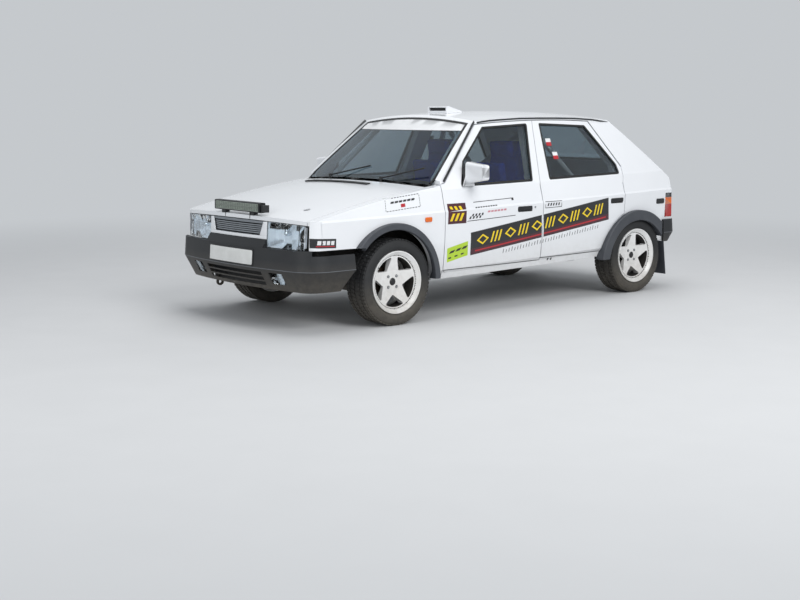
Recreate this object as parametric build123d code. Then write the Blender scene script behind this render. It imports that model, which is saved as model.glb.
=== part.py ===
"""Rally-prepared five-door hatchback: body panels, doors, lids, running gear and cabin.

Millimetres.  X points forward, Y to the car's left, Z up.  The origin is on the ground
under the middle of the car.
"""
from build123d import *
import math
import os

os.makedirs("parts", exist_ok=True)

# Overall sizes
length = 3815.0
width = 1624.0
roof_height = 1400.0
nose_x = length / 2
tail_x = -length / 2

# Running gear
wheelbase = 2450.0
front_axle_x = 1120.0
rear_axle_x = front_axle_x - wheelbase
front_track = 1400.0
rear_track = 1375.0
tyre_radius = 288.0
tyre_width = 195.0
bead_radius = 190.5
kingpin_lean = 9.3
ball_joint_y = 657.0
ball_joint_z = 190.0
strut_top_z = 742.0

# Running gaps and fits
shut_gap = 6.0
lid_gap = 6.0
inner_gap = 7.0
seat_gap = 0.3
glass_thickness = 5.0
glass_inset = 9.0

# Side of the body: its section at mid length, from the sill up, and the bow of its plan
side_rows = (
    # half width, height, wall
    (742.0, 240.0, 85.0),
    (764.0, 326.0, 85.0),
    (782.0, 350.0, 85.0),
    (800.0, 540.0, 85.0),
    (806.0, 744.0, 85.0),
    (798.0, 758.0, 80.0),
    (765.0, 890.0, 80.0),
    (757.0, 909.0, 36.0),
    (596.0, roof_height - 66, 36.0),
    (566.0, roof_height + 40, 36.0),
)
crease_row = 4
side_pitch = 1.3
side_bow = 60.0
bow_half_length = 1850.0
bow_radius = bow_half_length ** 2 / (2 * side_bow)
pillar_depth = 45.0
underside_front_z = 271.0
underside_slope = 0.0215
underside_front_x = 736.0
tail_underside_x, tail_underside_z = -1604.0, 379.0

# Crowned surfaces of the top and the ends
roof_peak_x = -450.0
roof_long_radius = 9500.0
roof_cross_radius = 4130.0
roof_plate = 18.0
roof_rear_x = tail_x + 685.5
hood_front_x, hood_front_z = nose_x - 67.5, 730.0
hood_rear_x, hood_rear_z = 690.0, 938.0
hood_long_radius = 8000.0
hood_cross_radius = 8000.0
hood_thickness = 24.0
hood_half_width = 690.0
hood_slot_x, hood_slot_y = (935.0, 955.0), (-430.0, 270.0)
screen_base_x, screen_base_z = 795.0, 930.0
screen_top_x, screen_top_z = 313.0, roof_height - 48
screen_cross_radius = 4290.0
hatch_top_x, hatch_top_z = roof_rear_x, roof_height - 58
hatch_cross_radius = 5200.0
lip_top_x, lip_top_z = tail_x + 127.5, 965.0
lip_slope = 55.0
tail_face_x, tail_face_z = tail_x + 50.5, 771.0
tail_slope = 85.5
tail_cross_radius = 4000.0
nose_face_x, nose_face_z = nose_x - 55.5, 560.0
nose_slope = 86.0
nose_cross_radius = 3600.0
nose_corner_radius = 90.0
nose_corner_y = 661.8
hatch_thickness, hatch_skin, hatch_draw = 42.0, 6.0, 12.0

# Doors and windows, as outlines in side view
door_front_x = 696.0
door_bottom_front_z = 335.0
door_bottom_rear_z = 352.0
frame_top_z = roof_height - 56
glass_top_z = roof_height - 89
pillar_line = ((655.0, 918.0), (212.0, frame_top_z))
b_line_x = -250.0
b_kink_z = 880.0
b_top_x = -330.0
rear_door_edge_x = -1178.0
c_line = ((-1196.0, 985.0), (-926.0, frame_top_z))
front_window = (
    (519.0, 890.0), (451.0, 1058.0), (188.0, glass_top_z - 21), (-268.0, glass_top_z), (-182.0, 903.0),
)
rear_window = (
    (-357.0, 908.0), (-391.0, glass_top_z + 1), (-892.0, glass_top_z - 19), (-1146.0, 996.0), (-1160.0, 924.0),
)
window_corner = 14.0
aperture_lap = 38.0
handle_size = (150.0, 40.0)
handle_depth = 13.0
front_handle = (-62.0, 714.0)
rear_handle = (-1083.0, 726.0)

# Wheel arches: centre, inner and outer radius of the black flare
front_arch = (front_axle_x + 20, 290.0, 345.0, 390.0)
rear_arch = (rear_axle_x + 5, 222.0, 342.0, 420.0)
flare_face_y = width / 2
flare_lap = 10.0
flare_foot_z = 285.0
arch_lean = 0.12
arch_room = 30.0
tyre_clearance = 7.0

# Bumpers
bumper_top_z = 532.0
bumper_bottom_z = 258.0
bumper_seam_z = 400.0
front_bumper_end_x = front_axle_x + 342
rear_bumper_top_z = 548.0
rear_bumper_bottom_z = 369.0
rear_bumper_seam_z = 446.0
rear_bumper_end_x = rear_axle_x - 338
bumper_half_width = 789.0
rear_bumper_half_width = 777.0
bumper_corner = min(190.0, 0.45 * (nose_x - front_bumper_end_x))
rear_bumper_corner = min(150.0, 0.45 * (rear_bumper_end_x - tail_x))
bumper_lean = 4.0
bumper_undercut = 27.0
bumper_wall = 14.0
plate_rise_z = 581.0
plate_rise_back, plate_rise_step = 46.0, 3.0
slot_heights = (284.0, 318.0, 352.0)
slot_height = 24.0
slot_half_width = 322.0
fog_inner_y, fog_outer_y = 392.0, 520.0
fog_bottom_z, fog_top_z = 300.0, 376.0
plate_size = (520.0, 114.0)
plate_z = 462.0

# Jacking pads under the sills: place along the car and height of their face
jack_pads = ((520.0, 266.0), (-640.0, 291.0))
jack_pad_y = 705.0

# Lamps and grille
lamp_inner_y, lamp_outer_y = 334.0, 668.0
lamp_bottom_z, grille_bottom_z, grille_top_z = 534.0, 582.0, 694.0
grille_slats = 5
grille_depth = 34.0
grille_frame, grille_strip = 12.0, 24.0
tail_lamp_bottom_z, tail_lamp_top_z = 566.0, 757.0
tail_lamp_inner_y = 478.0

# Wipers: pivots, and how far the tips lie behind, beside and above them
wiper_pivots_y = (-330.0, 250.0)
wiper_pivot_x, wiper_pivot_z = 812.0, 940.0
wiper_reach = (112.0, 330.0, 76.0)
wiper_radius, wiper_pivot_radius = 5.0, 11.0

# Engine bay and cabin
bulkhead_x = 620.0
bulkhead_thickness = 20.0
inner_wing_y = 434.0
front_panel_x = nose_x - 235.5
engine_bottom_z = 232.0
engine_x, engine_y, engine_top_z = (1070.0, 1440.0), (-360.0, 290.0), 700.0
floor_thickness = 22.0
boot_floor_z = 430.0
boot_floor_thickness = 20.0
boot_front_x = -930.0
kick_depth = 20.0
tunnel_half_width, tunnel_top_z, tunnel_wall = 80.0, 400.0, 15.0
tail_panel_thickness = 30.0
wheel_house_wall = 10.0
seat_y = 350.0
cage_tube = 40.0
weld_bead = 2.0
hoop_x = -446.0
dash_outline = ((560.0, 908.0), (430.0, 892.0), (395.0, 850.0), (420.0, 700.0), (540.0, 690.0))
dash_half_width = 560.0

# Apertures in the inner side of the shell
front_aperture = (
    (door_front_x - 42, 395.0),
    (door_front_x - 42, 900.0),
    (602.0, 930.0),
    (196.0, glass_top_z - 15),
    (b_top_x + 78, glass_top_z + 1),
    (b_line_x + 62, b_kink_z),
    (b_line_x + 62, 395.0),
)
rear_aperture = (
    (b_line_x - 56, 405.0),
    (b_line_x - 56, b_kink_z),
    (b_top_x - 64, glass_top_z + 1),
    (-886.0, glass_top_z - 15),
    (-1136.0, 985.0),
    (-1140.0, 905.0),
    (-1130.0, 405.0),
)

# Windscreen, cowl and tailgate
screen_inset = 2.0
screen_margin = 42.0
cowl_drop = 9.0
cowl_front = 30.0
hatch_outline = (
    # half width, height
    (504.0, roof_height + 20),
    (504.0, roof_height - 55),
    (612.0, 905.0),
    (612.0, 768.0),
    (472.0, 768.0),
    (472.0, 566.0),
)
hatch_window = ((436.0, roof_height - 108), (548.0, 1000.0))
hatch_front_x = hatch_top_x + 92
hatch_hinge_y = 100.0
hinge_barrel = 5.5
hinge_leaf = 20.0
barrel_gap = 0.3
lamp_wrap_x = tail_x + 201.5

# Front structure
wing_shelf_z = 628.0
sheet = 10.0
tower_radius = 74.0
tower_top_z = 762.0
wheel_house_y = 556.0
flap_top_x, flap_foot_x = rear_axle_x - 316, rear_axle_x - 360
flap_thickness = 6.0
flap_heights = (440.0, 114.0)
flap_span = (590.0, 784.0)

# Roof vent and the lamp bar on the front lid
vent_front_x, vent_length, vent_rise = 60.0, 152.0, 36.0
vent_half_width, vent_wall = 105.0, 12.0
bar_back_x, bar_depth, bar_half_width = nose_x - 111.5, 50.0, 265.0
bar_heights = (748.0, 814.0)

# Door mirror: its inner and outer section, and the outline of its foot in side view
mirror_sections = (
    # centre, depth, height, corner
    ((446.0, 752.0, 985.0), 84.0, 150.0, 22.0),
    ((452.0, 928.0, 990.0), 66.0, 104.0, 18.0),
)
mirror_foot = ((512.0, 893.0), (404.0, 893.0), (420.0, 960.0), (468.0, 1010.0))
mirror_foot_y = (700.0, 770.0)

# Latches: pins on the shell and the play of the holes they stand in
pin_radius = 5.0
pin_play = 0.9
striker_depth = 3.0
front_striker = (-218.0, 560.0)
rear_striker = (-1155.0, 800.0)
hood_pin = (nose_x - 297.5, 465.0, 745.0)
hood_pin_top = 27.0
hood_hinge_x, hood_hinge_z = 730.0, 905.0

# Towing eyes
tow_y = 380.0
tow_plate = 12.0
tow_bore = 13.0
tow_front_x, tow_front_z = nose_x - 165.5, 232.0
tow_rear_x, tow_rear_z = tail_x + 101.5, 336.0

# Wheels
rim_radius = 208.0
rim_wall = 8.0
rim_half = 92.0
rim_well = 168.0
spoke_count = 5
hub_radius = 78.0
spoke_tip_half = 7.5
hub_bore = 28.0
bolt_circle = 50.0
bolt_count = 4

# Exhaust: pipe bends from the engine to the tail, silencer's radius and length
exhaust_path = (
    (1040.0, 0.0, 262.0), (760.0, 0.0, 300.0), (-760.0, 0.0, 330.0), (-970.0, 0.0, 348.0),
    (-1050.0, 80.0, 380.0), (-1170.0, 330.0, 380.0), (-1560.0, 330.0, 362.0), (tail_x + 17, 330.0, 330.0),
)
exhaust_radius, exhaust_bend = 24.0, 50.0
silencer_place, silencer_size = (rear_axle_x - 270, 330.0, 350.0), (60.0, 200.0)

# Seats: outline of a shell in side view, hollow between its wings, half widths
seat_outline = (
    (170.0, 330.0), (190.0, 480.0), (160.0, 500.0), (-120.0, 440.0), (-190.0, 560.0), (-318.0, 1180.0),
    (-390.0, 1180.0), (-400.0, 1100.0), (-290.0, 520.0), (-250.0, 340.0), (-100.0, 330.0),
)
seat_hollow = (
    (400.0, 470.0), (130.0, 470.0), (-110.0, 420.0), (-165.0, 470.0), (-290.0, 1220.0), (-200.0, 1400.0),
    (400.0, 1400.0),
)
seat_half, seat_inner_half, seat_shoulder_half = 212.0, 170.0, 150.0
seat_shoulder_z = 900.0
seat_rail_y, seat_rail_x = (140.0, 180.0), (-230.0, 160.0)

# Steering column
column_slope = 24.0
column_end = (205.0, 365.0, 800.0)
column_length = 250.0
column_radius = 17.0
column_play = 0.05
steering_rim = (162.0, 15.0)

wide = 1200.0
far = 3000.0


def barrel(x, z, slope, cross_radius, long_radius=12000.0, sink=0.0, reach=3200.0):
    """Convex block whose crowned top passes through x, z at the given slope, sunk along its normal."""
    half = 1000.0
    depth = 3000.0
    drop = cross_radius - math.sqrt(cross_radius ** 2 - half ** 2)
    crown = ThreePointArc((0, -half, -drop), (0, 0, 0), (0, half, -drop))
    rest = Polyline((0, half, -drop), (0, half, -depth), (0, -half, -depth), (0, -half, -drop))
    face = make_face([crown, rest])
    axis = Axis((0, 0, -long_radius), (0, 1, 0))
    turn = math.degrees(reach / long_radius)
    block = revolve(face, axis, 2 * turn).rotate(axis, -turn)
    return Location((x, 0, z), (0, slope, 0)) * (Location((0, 0, -sink)) * block)


def hood_block(sink=0.0):
    """Everything below the hood's surface."""
    run = hood_front_x - hood_rear_x
    rise = hood_rear_z - hood_front_z
    arch = math.hypot(run, rise) ** 2 / (8 * hood_long_radius)
    middle_x = (hood_front_x + hood_rear_x) / 2
    middle_z = (hood_front_z + hood_rear_z) / 2 + arch
    slope = math.degrees(math.atan2(rise, run))
    return barrel(middle_x, middle_z, slope, hood_cross_radius, hood_long_radius, sink)


def roof_block(sink=0.0):
    """Everything below the roof's surface."""
    return barrel(roof_peak_x, roof_height, 0, roof_cross_radius, roof_long_radius, sink)


def slope_between(low_x, low_z, high_x, high_z):
    """Slope in degrees of the line between two points in side view."""
    return math.degrees(math.atan2(high_z - low_z, abs(high_x - low_x)))


def screen_block(sink=0.0):
    """Everything behind the windscreen's surface."""
    slope = slope_between(screen_base_x, screen_base_z, screen_top_x, screen_top_z)
    return barrel(screen_base_x, screen_base_z, slope, screen_cross_radius, sink=sink)


def corner_cut(radius):
    """Material outside the rounded left corner between the nose and the side, seen from above."""
    nose_turn = math.atan(nose_corner_y / nose_cross_radius)
    side_turn = math.pi / 2 - 2 * side_bow * nose_x / bow_half_length ** 2
    middle_turn = (nose_turn + side_turn) / 2
    corner_x = nose_face_x - 157
    points = [(corner_x, nose_corner_y)]
    for turn, reach in ((nose_turn, 1.0), (middle_turn, 2.0), (side_turn, 1.0)):
        points.append((corner_x + reach * radius * math.cos(turn), nose_corner_y + reach * radius * math.sin(turn)))
    wedge = extrude(make_face(Polyline([(x, y, 0) for x, y in points], close=True)), roof_height, dir=(0, 0, 1))
    return wedge - Pos(corner_x, nose_corner_y, roof_height / 2) * Cylinder(radius, 2 * roof_height)


def nose_block(sink=0.0):
    """Everything behind the face of the lamps and grille."""
    return barrel(nose_face_x, nose_face_z, nose_slope, nose_cross_radius, 20000.0, sink)


def rear_block(sink=0.0):
    """Everything in front of the tailgate glass, its lip and the tail face."""
    block = None
    hatch_slope = slope_between(lip_top_x, lip_top_z, hatch_top_x, hatch_top_z)
    for x, z, slope, cross in (
        (hatch_top_x, hatch_top_z, -hatch_slope, hatch_cross_radius),
        (lip_top_x, lip_top_z, -lip_slope, hatch_cross_radius),
        (tail_face_x, tail_face_z, -tail_slope, tail_cross_radius),
    ):
        face = barrel(x, z, slope, cross, sink=sink)
        block = face if block is None else block & face
    return block


def left_side(depth=0.0, extra=0.0):
    """Everything to the right of the left side's surface, moved in by depth walls plus extra."""
    rows = [(half - depth * wall - extra, height) for half, height, wall in side_rows]
    outline = [(-wide, rows[0][1])] + rows + [(-wide, rows[-1][1])]
    face = make_face(Polyline([(0, y, z) for y, z in outline], close=True))
    centre_y = side_rows[crease_row][0] - bow_radius
    axis = Axis((0, centre_y, 0), (0, 0, 1))
    turn = math.degrees(2100.0 / bow_radius)
    side = revolve(face, axis, 2 * turn).rotate(axis, -turn)
    return side.rotate(Axis.Y, side_pitch)


def prism(points, low=0.0, high=wide):
    """Side-view outline (x, z) carried across the car from y = low to y = high."""
    face = make_face(Polyline([(x, low, z) for x, z in points], close=True))
    return extrude(face, high - low, dir=(0, 1, 0))


def block(x0, x1, y0, y1, z0, z1):
    """Plain block between two corners."""
    size = (abs(x1 - x0), abs(y1 - y0), abs(z1 - z0))
    return Pos((x0 + x1) / 2, (y0 + y1) / 2, (z0 + z1) / 2) * Box(*size)


def rod(x, z, radius, low, high):
    """Cylinder along Y."""
    return Pos(x, (low + high) / 2, z) * Rot(90, 0, 0) * Cylinder(radius, high - low)


def tube_between(start, end, radius):
    """Straight round bar between two points."""
    a, b = Vector(*start), Vector(*end)
    plane = Plane(origin=a, z_dir=(b - a))
    return extrude(plane * Circle(radius), (b - a).length)


def half_space(point, first, second, keep):
    """Large block on the side of the plane through point, first and second that holds keep."""
    normal = Vector(*first).cross(Vector(*second)).normalized()
    if normal.dot(Vector(*keep) - Vector(*point)) < 0:
        normal = -normal
    plane = Plane(origin=Vector(*point), z_dir=normal)
    return extrude(plane * Rectangle(2 * far, 2 * far), far)


def both_sides(shape):
    """The left piece and its mirror image on the right."""
    return shape + mirror(shape, Plane.XZ)


def underside(lift=0.0):
    """Everything above the sloping underside of the sills and the raised one of the tail."""
    def height(x):
        return underside_front_z + (underside_front_x - x) * underside_slope + lift

    tail_z = tail_underside_z + lift
    return prism((
        (far, height(far)), (far, far), (-far, far), (-far, tail_z),
        (tail_underside_x, tail_z), (tail_underside_x, height(tail_underside_x)),
    ), -wide, wide)


# Volumes that the panels are cut from
outer_side = left_side()
door_back = left_side(1.0)
pocket_back = left_side(1.0, inner_gap)
band_back = left_side(1.0, inner_gap + pillar_depth)
roof_space = roof_block(roof_plate)
door_roof = roof_block(roof_plate + lid_gap)
rear_space = rear_block()
screen_space = screen_block()
hood_space = hood_block()
nose_space = nose_block()
nose_corner = corner_cut(nose_corner_radius)
body_top = roof_space & rear_space
ground_cut = underside()
roof_behind = block(-far, roof_rear_x + lid_gap / 2, -wide, wide, 0, far) + block(-far, hatch_front_x, -wide, wide, 0, 1200)
body = outer_side & mirror(outer_side, Plane.XZ)
core = band_back & mirror(band_back, Plane.XZ)


def b_line(shift):
    """Shut line of the middle pillar, moved along X."""
    return (
        (b_line_x + shift, door_bottom_front_z - 8),
        (b_line_x + shift, b_kink_z),
        (b_top_x + shift, frame_top_z + 16),
    )


def front_door_outline(grow=0.0):
    """Side-view outline of the front door, grown by the given amount."""
    low, kink, top = b_line(shut_gap / 2 - grow)
    return (
        (door_front_x + grow, door_bottom_front_z - grow),
        (door_front_x + grow, pillar_line[0][1] - 6),
        (pillar_line[0][0] + grow, pillar_line[0][1] + grow),
        (pillar_line[1][0] + grow, pillar_line[1][1] + grow),
        (top[0], pillar_line[1][1] + grow),
        kink,
        (low[0], door_bottom_front_z - grow),
    )


def rear_door_outline(grow=0.0):
    """Side-view outline of the rear door before the wheel arch is taken out of it."""
    low, kink, top = b_line(grow - shut_gap / 2)
    return (
        (low[0], door_bottom_rear_z - grow),
        kink,
        (top[0], c_line[1][1] + grow),
        (c_line[1][0] - grow, c_line[1][1] + grow),
        (c_line[0][0] - grow, c_line[0][1]),
        (rear_door_edge_x - 14 - grow, 900.0),
        (rear_door_edge_x - grow, 860.0),
        (rear_door_edge_x - grow, door_bottom_rear_z - grow),
    )


def arch_rod(arch, radius, low=-wide, high=wide):
    """Cylinder through a wheel arch."""
    return rod(arch[0], arch[1], radius, low, high)


def arch_cone(arch, radius, at_y, lean, low=500.0, high=wide):
    """Cone through the left wheel arch: the given radius at y = at_y, wider further in."""
    outer = radius - lean * (high - at_y)
    inner = radius + lean * (at_y - low)
    return Pos(arch[0], (low + high) / 2, arch[1]) * Rot(90, 0, 0) * Cone(outer, inner, high - low)


def grown(points, amount):
    """Outline with every side moved outwards by the given amount."""
    count = len(points)
    area = sum(points[i - 1][0] * points[i][1] - points[i][0] * points[i - 1][1] for i in range(count))
    turn = 1.0 if area > 0 else -1.0
    moved = []
    for i in range(count):
        (ax, az), (bx, bz), (cx, cz) = points[i - 1], points[i], points[(i + 1) % count]
        first = math.hypot(bx - ax, bz - az)
        second = math.hypot(cx - bx, cz - bz)
        n1 = (turn * (bz - az) / first, -turn * (bx - ax) / first)
        n2 = (turn * (cz - bz) / second, -turn * (cx - bx) / second)
        share = amount / (1 + n1[0] * n2[0] + n1[1] * n2[1])
        moved.append((bx + share * (n1[0] + n2[0]), bz + share * (n1[1] + n2[1])))
    return moved


def arch_space(arch, axle_x, extra=0.0, low=-wide, high=wide):
    """Room inside a wheel arch: the flare's circle joined to the tyre's own running room."""
    room = rod(axle_x, tyre_radius, tyre_radius + arch_room + extra, low, high)
    return arch_rod(arch, arch[2] + flare_lap + extra, low, high) + room


def window_tool(points, shrink=0.0):
    """Window outline as a cutter with rounded corners."""
    solid = prism(grown(points, -shrink), 0, wide)
    return fillet(solid.edges().filter_by(Axis.Y), window_corner - shrink)


def trailing_cut(door, line, lean_low, lean_high, keep):
    """Leans a door's trailing faces so that they swing out past the frame behind them."""
    low, kink, top = line
    lower_side = half_space((low[0], 800, low[1]), (0, 0, 1), (lean_low, -1, 0), keep)
    surface_y = 760.0
    run = (top[0] - kink[0], -170.0 * (top[1] - kink[1]) / 430.0, top[1] - kink[1])
    upper_side = half_space((kink[0], surface_y, kink[1]), run, (lean_high, -1, 0), keep)
    below = door & block(-far, far, 0, wide, 0, kink[1])
    above = door & block(-far, far, 0, wide, kink[1], 2 * roof_height)
    return (below & lower_side) + (above & upper_side)


def striker(place, play=0.0):
    """Latch pin that stands out of a pillar into the door, or with play the hole for it."""
    x, z = place
    depth = striker_depth if play else striker_depth - seat_gap
    pin = rod(x, z, pin_radius + play, 500.0, wide) & left_side(1.0, -depth)
    return pin - left_side(1.0, inner_gap + pillar_depth / 2)


def handle_recess(place):
    """Pocket for the pull of a door handle."""
    x, z = place
    long, tall = handle_size
    tool = prism((
        (x - long / 2, z - tall / 2), (x - long / 2, z + tall / 2),
        (x + long / 2, z + tall / 2), (x + long / 2, z - tall / 2),
    ), 0, wide)
    tool = fillet(tool.edges().filter_by(Axis.Y), tall / 3)
    return tool - left_side(0.0, handle_depth)


def front_door():
    """Front door: skin and inner panel in one thickness, with its window."""
    slab = (prism(front_door_outline(), 0, wide) & outer_side & door_roof) - door_back
    slab = trailing_cut(slab, b_line(shut_gap / 2), 0.12, 0.3, (300.0, 700.0, 700.0))
    return slab - window_tool(front_window) - striker(front_striker, pin_play) - handle_recess(front_handle)


def rear_door():
    """Rear door, cut to the wheel arch, with its window."""
    outline = prism(rear_door_outline(), 0, wide) - arch_cone(rear_arch, rear_arch[3] + shut_gap, 800.0, arch_lean)
    slab = (outline & outer_side & door_roof) - door_back
    lower = half_space((rear_door_edge_x, 780, 700.0), (0, 0, 1), (0.14, -1, 0), (-600.0, 700.0, 700.0))
    below = slab & block(-far, far, 0, wide, 0, 860.0)
    above = slab & block(-far, far, 0, wide, 860.0, 2 * roof_height)
    run = (c_line[1][0] - c_line[0][0], -142.0, c_line[1][1] - c_line[0][1])
    upper = half_space((c_line[0][0], 738.0, c_line[0][1]), run, (0.42, -1, 0), (-600.0, 700.0, 1000.0))
    slab = (below & lower) + (above & upper) - window_tool(rear_window)
    return slab - striker(rear_striker, pin_play) - handle_recess(rear_handle)


def door_glass(points):
    """Side window, set back from the skin and clear of its frame."""
    pane = window_tool(points, seat_gap) & left_side(0.0, glass_inset)
    return pane - left_side(0.0, glass_inset + glass_thickness)


def body_side():
    """Left side of the shell: pillars, cant rail, sill and rear quarter with the door apertures."""
    band = (outer_side & body_top & ground_cut) - band_back
    band = band & prism(((door_front_x, 0), (door_front_x, 2000), (tail_x, 2000), (tail_x, 0)), 0, wide)
    band = band & screen_space
    rear_pocket = prism(rear_door_outline(shut_gap), 0, wide) - arch_rod(rear_arch, rear_arch[3])
    pockets = prism(front_door_outline(shut_gap), 0, wide) + rear_pocket
    band = band - (pockets - pocket_back)
    front_hole = prism(front_aperture, 0, wide)
    rear_hole = prism(rear_aperture, 0, wide) - arch_rod(rear_arch, rear_arch[3] + aperture_lap)
    band = band - front_hole - rear_hole - arch_space(rear_arch, rear_axle_x)
    rabbet = left_side(0.0, screen_margin - seat_gap) - screen_block(screen_inset + glass_thickness + seat_gap)
    band = band - (rabbet & block(0, far, 0, wide, 700, 2000))
    band = band - hatch_tool(lid_gap) - tail_lamp_box(seat_gap)
    for x, z in jack_pads:
        band = band + block(x - 35, x + 35, jack_pad_y - 18, jack_pad_y + 18, z, z + 30)
    return band + striker(front_striker) + striker(rear_striker)


def cross_prism(half_points, back, front):
    """Symmetric outline (half width, height) seen from behind, carried along X."""
    left = [(back, y, z) for y, z in half_points]
    right = [(back, -y, z) for y, z in reversed(half_points)]
    return extrude(make_face(Polyline(left + right, close=True)), front - back, dir=(1, 0, 0))


def hatch_tool(grow=0.0):
    """Space of the tailgate between the rear pillars and the lamps."""
    points = [(y + grow, z - (grow if i in (3, 5) else 0)) for i, (y, z) in enumerate(hatch_outline)]
    points[4] = (points[4][0], points[3][1])
    return cross_prism(points, -far, hatch_front_x) & roof_behind


def tail_lamp_box(grow=0.0):
    """Space of the left tail lamp."""
    inner = tail_lamp_inner_y - grow
    return block(-far, lamp_wrap_x + grow, inner, wide, tail_lamp_bottom_z - grow, tail_lamp_top_z + grow)


def hatch_barrels(of_lid, extra=0.0):
    """Hinge barrels of the tailgate: the middle ones sit on the lid, the outer ones on the roof."""
    barrels = None
    half = hinge_leaf / 2 + barrel_gap
    spans = ((-half, half),) if of_lid else ((-half - hinge_leaf, -half), (half, half + hinge_leaf))
    trim = barrel_gap if of_lid else 0.0
    for middle in (-hatch_hinge_y, hatch_hinge_y):
        for low, high in spans:
            part = rod(
                hatch_top_x, hatch_top_z, hinge_barrel + extra,
                middle + low + trim - extra, middle + high - trim + extra,
            )
            barrels = part if barrels is None else barrels + part
    return barrels


def roof_panel():
    """Roof skin with its rolled edges."""
    skin = body & roof_block() & screen_space & rear_space
    header = (skin & core) - (roof_space & rear_block(roof_plate))
    header = header & block(roof_rear_x, roof_peak_x, -wide, wide, 0, far)
    plate = ((skin - roof_space) + header) & block(roof_rear_x + lid_gap / 2, far, -wide, wide, 0, far)
    return (plate - hatch_barrels(True, barrel_gap)) + hatch_barrels(False)


def hatch():
    """Tailgate with its window, lip and lower panel."""
    shell = (body & rear_space & roof_block() & hatch_tool()) - rear_block(hatch_thickness)
    shell = shell - (rear_block(hatch_skin) - hatch_tool(-hatch_draw))
    shell = shell & block(-far, roof_rear_x - lid_gap / 2, -wide, wide, 0, far)
    shell = shell - cross_prism(grown_half(hatch_window), -far, hatch_front_x)
    return (shell - hatch_barrels(False, barrel_gap)) + hatch_barrels(True)


def grown_half(points, shrink=0.0):
    """Half outline of the tailgate window, drawn in by the given amount."""
    (top_y, top_z), (low_y, low_z) = points
    return ((top_y - shrink, top_z - shrink), (low_y - shrink, low_z + shrink))


def hatch_glass():
    """Tailgate glass, set into its opening."""
    pane = rear_block(glass_inset) - rear_block(glass_inset + glass_thickness)
    pane = pane & cross_prism(grown_half(hatch_window, seat_gap), -far, hatch_front_x)
    return pane & block(-far, far, -wide, wide, lip_top_z, roof_height - 80)


def windscreen():
    """Bonded windscreen between the front pillars, the roof and the cowl."""
    pane = screen_block(screen_inset) - screen_block(screen_inset + glass_thickness)
    pane = pane & left_side(0.0, screen_margin) & mirror(left_side(0.0, screen_margin), Plane.XZ)
    half = hood_half_width - shut_gap
    between = block(door_front_x, far, -half, half, 0, far) + block(-far, door_front_x, -wide, wide, 0, far)
    return (pane & between & roof_block(roof_plate + seat_gap)) - hood_block(cowl_drop - seat_gap)


def hood():
    """Front lid between the wings, from the lamps to the cowl."""
    plate = (body & hood_space & nose_space) - hood_block(hood_thickness) - screen_block(-cowl_front)
    half = hood_half_width - shut_gap / 2
    plate = plate & block(0, far, -half, half, 500, far)
    slot = block(*hood_slot_x, *hood_slot_y, 600, 1200)
    return plate - slot - both_sides(hood_catch(pin_play) + nose_corner)


def front_fender():
    """Left front wing around the wheel arch."""
    inner = left_side(0.5) & hood_block(hood_thickness)
    panel = (outer_side & hood_space & nose_space & ground_cut) - nose_corner - inner
    panel = panel & block(door_front_x + shut_gap, far, hood_half_width + shut_gap / 2, wide, 0, far)
    panel = panel - arch_space(front_arch, front_axle_x)
    low_front = block(front_arch[0], far, 0, wide, 0, bumper_top_z + seat_gap)
    return panel - low_front


def strut_axis(z):
    """Distance of the steering axis from the middle of the car at a height."""
    return ball_joint_y - (z - ball_joint_z) * math.tan(math.radians(kingpin_lean))


def tow_lug(x, y, z, root_x, root_z):
    """Towing plate with its eye, hanging from a root block."""
    ahead = 1.0 if x > 0 else -1.0
    cheek = rod(x, z, 28.0, y - tow_plate / 2, y + tow_plate / 2)
    side = ((root_x, root_z - 50), (root_x, root_z + 20), (x, root_z + 20), (x + 24 * ahead, z + 14), (x, z - 27.5))
    web = prism(side, y - tow_plate / 2, y + tow_plate / 2)
    return (cheek + web) - rod(x, z, tow_bore, y - tow_plate, y + tow_plate)


def hood_catch(play=0.0):
    """Left hood pin, leaning along the path of the lid's hole, or with play that hole."""
    x, y, z = hood_pin
    lean = math.degrees(math.atan2(hood_hinge_z - z, x - hood_hinge_x))
    below = (z - wing_shelf_z) / math.cos(math.radians(lean))
    if play:
        shape = Cylinder(pin_radius + play, 4 * hood_thickness)
    else:
        tip = hood_pin_top / 2
        stem = below + hood_pin_top - tip
        shape = Pos(0, 0, stem / 2 - below) * Cylinder(pin_radius, stem)
        shape = shape + Pos(0, 0, stem - below + tip / 2) * Cone(pin_radius, pin_radius - 2, tip)
    return Location((x, y, z), (0, lean, 0)) * shape


def tunnel_space(back, front):
    """Room for the exhaust pipe inside the floor tunnel."""
    return block(back, front, -tunnel_half_width, tunnel_half_width, 200, tunnel_top_z - tunnel_wall)


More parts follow.
